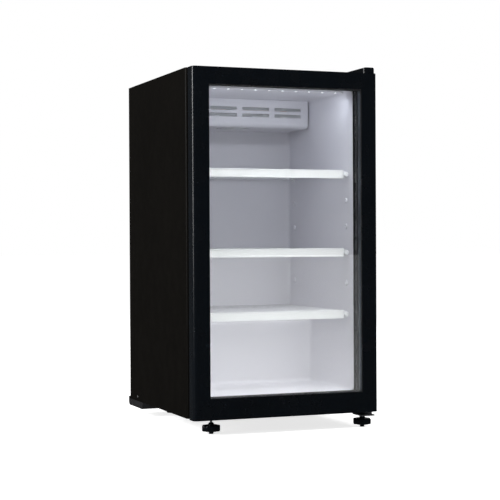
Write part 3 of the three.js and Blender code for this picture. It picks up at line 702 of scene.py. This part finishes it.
def add_shelf(level):
    """A coated wire shelf: a rod frame, a middle rod and closely set round wires."""
    node = f"shelf_{level}"
    box = Box(node)
    rod, wire, count = 2.5 * MM, 1.5 * MM, 23
    x0, x1 = box.lo.x + rod, box.hi.x - rod
    y0, y1 = box.lo.y + rod, box.hi.y - rod
    z = box.lo.z + rod
    body = f"{level}_shelf"
    loop = bent([(x0, y0, z), (x1, y0, z), (x1, y1, z), (x0, y1, z)], 5 * MM, closed=True)
    pipe(f"shelf_frame_{level}", loop, rod * 0.98, "shelf_wire", body, [node], closed=True)
    cross = rods([((x0, (y0 + y1) / 2, z), (x1, (y0 + y1) / 2, z))], rod * 0.8, 14)
    piece(f"shelf_cross_rod_{level}", cross, "shelf_wire", body)
    top = box.hi.z - wire
    past = 0.5 * MM
    lines = [((x, y0 - past, top), (x, y1 + past, top)) for x in spread(x0, x1, count + 2)[1:-1]]
    piece(f"shelf_wires_{level}", rods(lines, wire, 10), "shelf_wire", body)


def add_price_strip(level):
    """A ticket holder hooked under the shelf's front rod, a blank card in it, and its end buttons."""
    node, body = f"price_strip_{level}", f"{level}_shelf"
    box = Box(node)
    radius, clear, proud = 6 * MM, 0.6 * MM, 3 * MM
    x0, x1 = box.lo.x + 2 * radius + clear, box.hi.x - 2 * radius - clear
    y0, z0, z1 = box.lo.y + proud, box.lo.z, box.hi.z
    lip, slit, face, hook = 0.5, 1.1, 1.9, 12.1
    high, reach = box.size.z / MM, (box.hi.y - y0) / MM
    section = [(0, 0.3), (0, 2.8), (lip, 2.8), (lip, 1.2), (slit, 1.2), (slit, high - 1.2),
               (lip, high - 1.2), (lip, high - 2.8), (0, high - 2.8), (0, high - 0.3), (0.3, high),
               (face + 0.6, high), (face + 0.6, high - 1), (face, high - 1), (face, hook),
               (reach, hook), (reach, hook - 1.3), (face, hook - 1.3), (face, 0), (0.3, 0)]
    data = extruded([(y0 + y, z0 + z) for y, z in mm(*section)], x0, x1)
    piece(f"strip_{level}", data, "white_plastic", body, [node], 0.12 * MM)
    card = [((x0 + 2 * MM, y0 + 0.6 * MM, z0 + 1.5 * MM), (x1 - 2 * MM, y0 + MM, z1 - 1.5 * MM))]
    piece(f"blank_card_{level}", blocks(card), "paper_card", body)

    dome = mm((0, 0.5), (2.2, 0.5), (2.8, 0), (4.4, 0), (5.5, 0.5), (6, 1.6), (6, 5.5), (0, 5.5))
    ends = (box.lo.x + radius, box.hi.x - radius)
    bm = bmesh.new()
    for x in ends:
        turned_into(bm, dome, (x, box.lo.y, box.mid.z), BACK, 32)
    piece(f"strip_buttons_{level}", mesh_of(bm, "buttons"), "white_plastic", body)
    half = 1.9 * MM
    tabs = []
    for low, high in ((ends[0], x0 + MM), (x1 - MM, ends[1])):
        tabs.append(((low, y0 + 0.35 * MM, box.mid.z - half), (high, y0 + 1.2 * MM, box.mid.z + half)))
    piece(f"strip_tabs_{level}", blocks(tabs), "white_plastic", body)


def add_fan_guard(centre):
    """Five wire rings held by four spokes across the fan's opening."""
    ring_wire, spoke_wire, inner, length = 0.8 * MM, 1.1 * MM, 12 * MM, 30.5 * MM
    count = 48
    angles = [2 * math.pi * i / count for i in range(count)]
    bm = bmesh.new()
    for radius in (13, 20, 27, 34, 41.5):
        ring = [Vector((radius * MM * math.cos(a), radius * MM * math.sin(a), 0)) for a in angles]
        for a, b in zip(ring, ring[1:] + ring[:1]):
            wire = [(ring_wire, 0), (ring_wire, (b - a).length)]
            turned_into(bm, wire, centre + a, b - a, 6)
    spoke = [(0, 0), (spoke_wire, 0), (spoke_wire, length), (0, length)]
    for i in range(4):
        angle = math.pi / 4 + math.pi / 2 * i
        out = Vector((math.cos(angle), math.sin(angle), 0))
        turned_into(bm, spoke, centre + out * inner, out, 8)
    piece("fan_guard", mesh_of(bm, "guard"), "white_plastic", "cabinet")


def add_air_vanes(unit):
    """Two slanted vanes in every slot of the fan unit's cover."""
    front, back = unit.lo.y + 0.5 * MM, unit.lo.y + 9 * MM
    bm = bmesh.new()
    for column in range(4):
        x = unit.lo.x + (17 + column * 87) * MM
        for slot in (26, 42):
            for vane in (1.2, 4.4):
                low = unit.lo.z + (slot + vane) * MM
                section = ((front, low), (front, low + 0.9 * MM),
                           (back, low + 5 * MM), (back, low + 4.1 * MM))
                lofted(bm, [[(end, y, z) for y, z in section] for end in (x + 0.2 * MM, x + 71.8 * MM)])
    piece("air_vanes", mesh_of(bm, "vanes"), "white_plastic", "cabinet")


def add_finned_tube():
    """The evaporator: a copper tube bent to and fro through a row of thin fins."""
    coil = Box("evaporator_coil")
    tube, inset, fin_inset, half, past = 4 * MM, 3.5 * MM, 22 * MM, 11 * MM, 2 * MM
    route = serpentine((coil.lo.x + inset, coil.hi.x - inset), coil.mid.y,
                       (coil.lo.z + tube, coil.hi.z - tube), 4)
    pipe("evaporator_tube", route, tube, "copper", "cabinet", ["evaporator_coil"])
    fins = []
    for x in spread(coil.lo.x + fin_inset, coil.hi.x - fin_inset, 58):
        fins.append(((x, coil.mid.y - half, coil.lo.z - past),
                     (x + 0.3 * MM, coil.mid.y + half, coil.hi.z + past)))
    piece("evaporator_fins", blocks(fins), "aluminium", "cabinet")


def add_fan_unit():
    """What the cover at the back of the top compartment holds, and the guard over its fan."""
    unit = Box("evaporator_cover")
    hub = Vector(joints["fan_spin"]["pos_m"])
    add_fan_guard(Vector((hub.x, hub.y, unit.lo.z + MM)))
    add_air_vanes(unit)
    add_finned_tube()
    add_fan_blades(hub, Box("fan_blade"))


def add_fan_blades(hub, box):
    """Five cambered blades, twisted from root to tip, round a hub."""
    root, span, camber, cells = 9 * MM, 31 * MM, 1.1 * MM, 6
    middle = Vector((hub.x, hub.y, box.mid.z))
    bm = bmesh.new()
    for number in range(5):
        turn = Matrix.Rotation(2 * math.pi * number / 5, 4, "Z")
        grid = []
        for i in range(cells + 1):
            t = i / cells
            radius = root + span * t
            pitch = math.radians(38 - 16 * t)
            chord = (15 + 9 * math.sin(math.pi * (0.25 + t * 0.6))) * MM
            row = []
            for k in range(cells + 1):
                s = k / cells - 0.5
                up = s * chord * math.sin(pitch) + camber * (1 - 4 * s * s)
                angle = s * chord * math.cos(pitch) / max(radius, 14 * MM)
                point = Vector((radius * math.cos(angle), radius * math.sin(angle), up))
                row.append(bm.verts.new(turn @ point + middle))
            grid.append(row)
        for a, b in zip(grid, grid[1:]):
            for k in range(cells):
                bm.faces.new((a[k], a[k + 1], b[k + 1], b[k]))
    blades = piece("fan_blades", mesh_of(bm, "blades"), "black_plastic", "fan", ["fan_blade"])
    shell = blades.modifiers.new("thickness", "SOLIDIFY")
    shell.thickness = 1.2 * MM
    shell.offset = 0
    tall = box.size.z / MM
    profile = mm((0, 0), (8.5, 0), (10.5, 1.5), (11, 4), (11, tall - 1), (10.2, tall), (2.6, tall),
                 (2.6, tall - 6), (0, tall - 6))
    piece("fan_hub", turned(profile, (hub.x, hub.y, box.lo.z)), "black_plastic", "fan")


def add_lamp():
    """The ceiling lamp: a bowed frosted cover over a row of bright dots, and an end cap each side."""
    box = Box("lamp_diffuser")
    cap, pitch, count = 5 * MM, 34 * MM, 10
    y0, y1, z0, z1 = box.lo.y, box.hi.y, box.lo.z, box.hi.z
    low, crown = z0 + 1.4 * MM, z0 + 0.6 * MM
    bow = [(y0, z1, 0), (y0, low, MM), (box.mid.y, crown, 6 * MM), (y1, low, MM), (y1, z1, 0)]
    data = extruded(rounded(bow), box.lo.x + cap, box.hi.x - cap)
    piece("lamp_lens", data, "diffuser", "cabinet", ["lamp_diffuser"], 0.3 * MM)
    dot = mm((0, 0), (2.4, 0), (2.2, 0.35), (0, 0.5))
    spots = bmesh.new()
    for i in range(count):
        x = box.mid.x + (i - (count - 1) / 2) * pitch
        turned_into(spots, dot, (x, box.mid.y, z0 + 0.55 * MM), -UP, 16)
    piece("lamp_spots", mesh_of(spots, "spots"), "led", "cabinet")
    caps = [((x, y0, z0), (x + cap, y1, z1)) for x in (box.lo.x, box.hi.x - cap)]
    piece("lamp_end_caps", blocks(caps), "white_plastic", "cabinet", (), MM, 3)


# ---- door


def add_gasket():
    """The magnetic seal: a bellows section, mitred at the door's corners."""
    box = Box("door_gasket")
    section = [(0.6, 0.0), (14.4, 0.0), (14.6, 1.0), (12.4, 1.7), (12.4, 2.5), (14.2, 3.3), (14.8, 4.4),
               (14.8, 6.4), (13.8, 7.4), (7.8, 6.9), (2.0, 7.4), (0.6, 6.6), (0.2, 5.0), (0.8, 3.4),
               (2.6, 2.5), (2.6, 1.7), (0.4, 1.0)]
    data = mitred_ring(section, box.lo.y, (box.lo.x, box.hi.x, box.lo.z, box.hi.z))
    piece("gasket_bellows", data, "gasket", "door", ["door_gasket"], 0.15 * MM, 2, 50)


def add_glazing_bead():
    """A slim rubber bead that runs round the glass, inside and outside."""
    window = (door.lo.x + 39 * MM, door.lo.x + 420 * MM, door.lo.z + 48 * MM, door.lo.z + 759 * MM)
    deep = 2.1
    section = [(0.05, 0.0), (1.3, 0.0), (1.8, 0.5), (1.8, deep - 0.5), (1.3, deep), (0.05, deep)]
    fronts = {"outer": Box("glass_outer").lo.y - 2.2 * MM, "inner": Box("glass_inner").hi.y + 0.1 * MM}
    for name, front in fronts.items():
        data = mitred_ring(section, front, window)
        piece(f"glazing_bead_{name}", data, "rubber", "door", (), 0.15 * MM)


def add_hinge_details():
    """Two plugs in the top hinge's cover, and the screws that hold the bottom bracket."""
    cap = Box("hinge_cover_top")
    plug = mm((0, -1), (5.2, -1), (5.2, -0.35), (4.4, 0), (0, 0))
    for i, y in enumerate((cap.lo.y + 34 * MM, cap.hi.y - 14 * MM)):
        data = turned(plug, (cap.mid.x, y, cap.hi.z - 0.05 * MM), UP, 28)
        piece(f"hinge_cover_plug_{i + 1}", data, "black_plastic", "cabinet")
    strap = Box("hinge_bracket_bottom")
    inset, under = 8 * MM, cabinet.lo.z - 3.3 * MM
    for i, y in enumerate((strap.hi.y - 12 * MM, strap.hi.y - 38 * MM)):
        for side, x in (("left", strap.lo.x + inset), ("right", strap.hi.x - inset)):
            screw(f"hinge_screw_bottom_{side}_{i + 1}", (x, y, under), -UP, 3.6 * MM, "cabinet")


# ---- feet


def thread(name, place, bottom, top, radius, body, stands_for):
    """A stud with a real helical thread; its pitch is the screw's travel in one turn."""
    pitch, root, steps = 1.25 * MM, radius * 0.84, 20
    bm = bmesh.new()
    x, y = place
    turns = (top - bottom - 1.2 * MM) / pitch
    profile = [(0.0, root), (0.3, root), (0.55, radius), (0.7, radius)]
    rows = []
    for i in range(int(turns * steps) + 1):
        angle = 2 * math.pi * i / steps
        start = bottom + 0.6 * MM + pitch * i / steps
        row = []
        for share, r in profile:
            point = (x + r * math.cos(angle), y + r * math.sin(angle), start + share * pitch)
            row.append(bm.verts.new(point))
        rows.append(row)
    for i, (a, b) in enumerate(zip(rows, rows[1:])):
        for k in range(3):
            bm.faces.new((a[k], a[k + 1], b[k + 1], b[k]))
        if i + steps < len(rows) - 1:
            over, after = rows[i + steps], rows[i + steps + 1]
            bm.faces.new((a[3], over[0], after[0], b[3]))
    turned_into(bm, [(0, bottom), (root * 0.9, bottom), (root, bottom + 0.8 * MM),
                     (root, top - 0.5 * MM), (0, top - 0.5 * MM)], (x, y, 0), (0, 0, 1), steps)
    piece(name, mesh_of(bm, "thread"), "zinc", body, stands_for, 0.0, 2, 60)


def add_front_feet():
    """Threaded studs with lobed hand knobs."""
    lobes, lobe = 8, 1.1
    profile = mm((0, 0), (5.2, 0), (5.5, 0.5), (5.5, 6), (15, 6.3, 0.3 * lobe), (19.2, 6.3, lobe),
                 (20.5, 7.2, lobe), (20.8, 9, lobe), (20.8, 17, lobe), (20.4, 18.8, lobe),
                 (19.2, 19.8, lobe), (17.4, 19.9, 0.8 * lobe), (15.6, 18.4, 0.5 * lobe), (9.5, 18),
                 (7.2, 19.4), (6, 25.2), (5.2, 26), (3.4, 26), (3.4, 17), (0, 17))
    for side in ("left", "right"):
        knob, stud = Box(f"foot_knob_{side}"), Box(f"foot_stud_{side}")
        x, y = knob.mid.x, knob.mid.y
        data = turned(profile, (x, y, knob.lo.z), UP, 96, lobes)
        piece(f"levelling_knob_{side}", data, "black_plastic", f"foot_{side}_knob", [f"foot_knob_{side}"])
        thread(f"levelling_stud_{side}", (x, y), stud.lo.z, stud.hi.z, 2.95 * MM, f"foot_{side}",
               [f"foot_stud_{side}"])


def add_rear_feet():
    """Plain rubber feet with a hollow in the sole and a flared top."""
    for side in ("left", "right"):
        foot = Box(f"rear_foot_{side}")
        tall = foot.size.z / MM
        profile = mm((0, 0.8), (6, 0.8), (7, 0), (10.6, 0), (11.4, 0.9), (12.3, 3), (12.6, 3.4),
                     (14.4, tall - 3), (14.9, tall - 1.2), (14.9, tall), (0, tall))
        data = turned(profile, (foot.mid.x, foot.mid.y, foot.lo.z), UP, 48)
        piece(f"rubber_foot_{side}", data, "rubber", "cabinet", [f"rear_foot_{side}"])


# ---- back and compressor bay


def add_condenser():
    """A black tube bent to and fro, a grille of wires on both its faces, and its brackets."""
    coil, wires = Box("condenser_coil"), Box("condenser_wires")
    edge, radius, wire = 2.5 * MM, 2.45 * MM, 0.75 * MM
    route = serpentine((coil.lo.x + edge, coil.hi.x - edge), coil.mid.y,
                       (coil.lo.z + edge, coil.hi.z - edge), 11)
    pipe("condenser_tube", route, radius, "black_steel", "cabinet", ["condenser_coil"])
    pairs = []
    for x in spread(wires.lo.x + wire, wires.hi.x - wire, 48):
        for y in (coil.mid.y - radius - wire, coil.mid.y + radius + wire):
            pairs.append(((x, y, wires.lo.z + MM), (x, y, wires.hi.z - MM)))
    piece("condenser_grille", rods(pairs, wire, 6), "black_steel", "cabinet", ["condenser_wires"])

    back = Box("back_panel").hi.y
    clips = []
    for x in (-150 * MM, 150 * MM):
        for z in (coil.lo.z + 30 * MM, coil.mid.z + edge, coil.hi.z - 30 * MM):
            clips.append(((x - 9 * MM, back, z - 7 * MM), (x + 9 * MM, back + 1.2 * MM, z + 7 * MM)))
            clips.append(((x - 4 * MM, back + MM, z - 1.5 * MM),
                          (x + 4 * MM, coil.mid.y + 3.2 * MM, z + 1.5 * MM)))
    piece("condenser_brackets", blocks(clips), "black_steel", "cabinet", (), 0.5 * MM)


def add_condenser_lines():
    """Copper pipes between the condenser's two ends and what is in the compressor bay."""
    coil = Box("condenser_coil")
    y = coil.mid.y / MM
    left, right = coil.lo.x / MM, coil.hi.x / MM
    low, high = coil.lo.z / MM + 2.5, coil.hi.z / MM - 2.5
    radius, bend = 2.2 * MM, 14 * MM
    liquid = mm((left + 29.5, y, low), (left + 4, y, low), (left + 4, y, 208), (left + 4, y, 150),
                (-150, y - 6, 120), (-60, y - 8, 120), (-30, 205, 118))
    pipe("liquid_line", bent(liquid, bend), radius, "copper", "cabinet")
    side = 199
    discharge = mm((right - 28, y, high), (right - 3, y, high), (right - 3, y, high - 30),
                   (side, y - 4, high - 60), (side, y - 4, 225), (side, y - 4, 150),
                   (176, 200, 140), (150, 195, 140))
    pipe("discharge_line", bent(discharge, bend), radius, "copper", "cabinet")


def add_back_panel_bead():
    """A pressed bead that stiffens the back panel, just inside its edges."""
    back = Box("back_panel")
    inset = 22 * MM
    section = [(0.0, -0.2), (1.2, 0.6), (3.2, 1.5), (6.0, 1.5), (8.0, 0.6), (9.2, -0.2)]
    outer = (back.lo.x + inset, back.hi.x - inset, back.lo.z + 24 * MM, back.hi.z - inset)
    piece("back_panel_bead", mitred_ring(section, back.hi.y, outer), "galvanised", "cabinet")


def add_louvres():
    """A pressed hood over every vent slot of the rear cover."""
    lowest, pitch, rows = 60, 14, 9
    bm = bmesh.new()
    for row in range(rows):
        for x in (-200, -110, -20):
            rings = []
            for end, reach in ((x, 0.2), (x + 4, 1.0), (x + 72, 1.0), (x + 76, 0.2)):
                section = [(0, 6.6), (1.5 * reach, 6.3), (2.8 * reach, 5.0), (3.1 * reach, 3.2),
                           (2.7 * reach, 3.0), (2.4 * reach, 4.8), (1.2 * reach, 5.8), (0, 5.8)]
                points = mm(*((end, out, lowest + row * pitch + up) for out, up in section))
                rings.append([bm.verts.new(Vector(point) + BACK * cover.hi.y) for point in points])
            for a, b in zip(rings, rings[1:]):
                for k in range(len(a) - 1):
                    bm.faces.new((a[k], a[k + 1], b[k + 1], b[k]))
            bm.faces.new(rings[0])
            bm.faces.new(reversed(rings[-1]))
    piece("louvre_hoods", mesh_of(bm, "hoods"), "galvanised", "cabinet")


def add_rear_screws():
    """The screws round the rear cover, and those through the tray's back wall."""
    places = [(x, z) for z in (30, 121, 212) for x in (-218, 218)] + [(0, 212)]
    for i, (x, z) in enumerate(places):
        screw(f"cover_screw_{i + 1}", (x * MM, cover.hi.y, z * MM), BACK, 3.8 * MM, "cabinet")
    for i, x in enumerate((-208, -70, 70, 208)):
        place = (x * MM, tray.hi.y - 1.4 * MM, tray.lo.z + 8.5 * MM)
        screw(f"tray_screw_{i + 1}", place, BACK, 3.4 * MM, "cabinet", 1.3 * MM)


def add_switch_bezel():
    """A raised frame round the light switch."""
    middle, across, up = Box("light_switch").mid, 9.5 * MM, 12.5 * MM
    hole = (middle.x - across, middle.x + across, middle.z - up, middle.z + up)
    section = [(0.0, 0.05), (2.4, 0.05), (2.4, 1.2), (1.9, 1.7), (0.9, 1.7), (0.0, 0.9)]
    data = mitred_ring(section, cover.hi.y, hole)
    piece("switch_bezel", data, "black_plastic", "cabinet", (), 0.15 * MM)


def raised_bar(bm, centre, angle, reach, levels):
    """A bar on a face that looks backwards, lying like a clock's hand at an angle from upright.

    reach is where it starts and ends from the centre, and levels holds its height and half width,
    at its foot and at its top.
    """
    along = Vector((math.sin(angle), 0, math.cos(angle)))
    across = Vector((math.cos(angle), 0, -math.sin(angle)))
    rings = []
    for height, half in levels:
        corners = ((reach[0], -half), (reach[1], -half), (reach[1], half), (reach[0], half))
        rings.append([centre + along * u + across * v + BACK * height for u, v in corners])
    lofted(bm, rings)


def add_thermostat():
    """The temperature dial, its fluted edge, its pointer and the scale of dashes round it."""
    box = Box("thermostat_knob")
    x, _, z = joints["thermostat_turn"]["pos_m"]
    centre = Vector((x, box.lo.y, z))
    start = math.radians(135)
    depth = box.size.y / MM
    profile = mm((0, 0), (14.8, 0), (14.8, 1.4), (14.2, 2), (12.2, 3, 0.3), (11.6, 4.6, 0.45),
                 (11, depth - 2.2, 0.45), (10.3, depth - 1.5, 0.2), (9.4, depth - 1.2), (0, depth - 1.2))
    bm = bmesh.new()
    turned_into(bm, profile, centre, BACK, 120, 24)
    raised_bar(bm, centre, start, (-9.4 * MM, 9.4 * MM), mm((depth - 1.6, 1.1), (depth - 0.4, 0.825)))
    piece("temperature_dial", mesh_of(bm, "dial"), "black_plastic", "thermostat", ["thermostat_knob"])

    dashes = bmesh.new()
    marks, nearest = 10, 17
    for i in range(marks):
        length = 3.6 if i in (0, marks - 1) else 2.4
        reach = (nearest * MM, (nearest + length) * MM)
        angle = start - math.radians(30 * i)
        raised_bar(dashes, Vector((x, cover.hi.y, z)), angle, reach, mm((0.02, 0.5), (0.3, 0.35)))
    piece("dial_scale", mesh_of(dashes, "scale"), "white_plastic", "cabinet")


def add_gland():
    """A ribbed rubber gland for the cord, with rings that step down towards its mouth."""
    box = Box("cord_gland")
    bore, depth, cut, pitch = 4.6, box.size.y / MM, 0.9, 1.5
    profile = [(bore, 0.2), (10.9, 0), (10.9, 2.4), (10.2, 3.1)]
    radius, height = 8.6, 3.4
    while height < depth - 1.4:
        profile += [(radius, height), (radius, height + 0.7), (radius - cut, height + 0.9),
                    (radius - cut, height + 1.3)]
        height += pitch
        radius -= 0.35
    profile += [(5.6, depth - 0.2), (4.8, depth - 0.2), (bore, depth - 0.6), (bore, 0.2)]
    data = turned(mm(*profile), (box.mid.x, box.lo.y, box.mid.z), BACK, 40)
    piece("cable_gland", data, "rubber", "cabinet", ["cord_gland"])


def add_compressor_details():
    """The terminal box, the washers on the mounts, the filter drier and the suction pipe."""
    pot = Box("compressor")
    low = (pot.lo.x + 6 * MM, pot.mid.y + 26 * MM, 62 * MM)
    high = (pot.lo.x + 54 * MM, pot.hi.y + 0.2 * MM, 118 * MM)
    piece("terminal_box", blocks([(low, high)]), "black_plastic", "cabinet", (), 3 * MM, 3)
    washer = mm((0, 0), (5.2, 0), (5.2, 1), (0, 1))
    for number in range(1, 5):
        mount = Box(f"compressor_mount_{number}")
        data = turned(washer, (mount.mid.x, mount.mid.y, mount.hi.z + 3.3 * MM), UP, 24)
        piece(f"mount_washer_{number}", data, "zinc", "cabinet")
    drier = mm((0, 0), (2.6, 0), (2.6, 10), (8, 16), (8.6, 19), (8.6, 74), (8, 77), (2.6, 83),
               (2.6, 92), (0, 92))
    data = turned(drier, (-175 * MM, 215 * MM, 96 * MM), Vector((1, 0, 0.12)), 28)
    piece("filter_drier", data, "copper", "cabinet")
    suction = mm((70, 150, 176), (60, 140, 196), (-40, 130, 196), (-120, 150, 190), (-120, 200, 182),
                 (-120, 228, 190), (-120, 228, 231), (-120, 219.6, 233))
    pipe("suction_line", bent(suction, 12 * MM), 3 * MM, "copper", "cabinet")


def add_side_screws():
    """Pan-head screws low on both side panels, near the back."""
    y, z = 183.5 * MM, 48.4 * MM
    for side, x, out in (("left", cabinet.lo.x, -RIGHT), ("right", cabinet.hi.x, RIGHT)):
        screw(f"side_screw_{side}", (x, y, z), out, 3.4 * MM, "cabinet", 0.9 * MM)


# ---- CAD pieces that stay


def shading_nodes():
    """A node group that smooths the shading and leaves nothing else changed."""
    group = bpy.data.node_groups.new("smooth_shading", "GeometryNodeTree")
    group.interface.new_socket("Geometry", in_out="INPUT", socket_type="NodeSocketGeometry")
    group.interface.new_socket("Geometry", in_out="OUTPUT", socket_type="NodeSocketGeometry")
    source = group.nodes.new("NodeGroupInput")
    result = group.nodes.new("NodeGroupOutput")
    smooth = group.nodes.new("GeometryNodeSetShadeSmooth")
    group.links.new(source.outputs[0], smooth.inputs["Geometry"])
    group.links.new(smooth.outputs[0], result.inputs[0])
    return group


def dress(look, width, *nodes, segments=2):
    """Gives CAD nodes their finish and a small rounding on every sharp edge."""
    for node in nodes:
        obj = frame["nodes"][node]
        for slot in obj.material_slots:
            slot.material = LOOKS[look]
        weld(obj)
        smooth = obj.modifiers.new("smooth", "NODES")
        smooth.node_group = SMOOTH
        round_edges(obj, width, segments, SHARP_ANGLE)


SMOOTH = shading_nodes()


def dress_cad_nodes():
    dress("shell_paint", 0.5 * MM, "side_panel_left", "side_panel_right", "top_panel", "floor_panel")
    dress("black_plastic", 0.6 * MM, "door_frame", "door_inner_frame", "front_trim_frame")
    dress("black_plastic", 0.8 * MM, "light_switch", "evaporation_tray", segments=3)
    dress("black_plastic", 1.5 * MM, "hinge_cover_top", segments=4)
    dress("black_steel", 0.5 * MM, "base_tray", "compressor")
    dress("galvanised", 0.25 * MM, "back_panel", "compressor_bay_panel", "rear_cover")
    dress("zinc", 0.4 * MM, "hinge_plate_top", "hinge_bracket_bottom")
    dress("rubber", 0.4 * MM, *(f"compressor_mount_{i}" for i in range(1, 5)))
    dress("liner", 0.7 * MM, "evaporator_cover", segments=3)
    dress("black_plastic", 0.4 * MM, "fan_motor")
    dress("foam", 0.3 * MM, "foam_insulation")
    dress("spacer_metal", 0.2 * MM, "glass_spacer")
    for node in ("glass_outer", "glass_inner"):
        for slot in frame["nodes"][node].material_slots:
            slot.material = LOOKS["glass"]
        frame["nodes"][node].visible_shadow = False


# ---- the whole scene

add_camera()
add_world()
add_floor()
add_lights()
dress_cad_nodes()
add_liner()
add_pegs()
add_spare_bosses()
for level in LEVELS:
    add_shelf(level)
    add_price_strip(level)
add_fan_unit()
add_lamp()
add_gasket()
add_glazing_bead()
add_hinge_details()
add_front_feet()
add_rear_feet()
add_condenser()
add_condenser_lines()
add_back_panel_bead()
add_louvres()
add_rear_screws()
add_switch_bezel()
add_thermostat()
add_gland()
add_compressor_details()
add_side_screws()
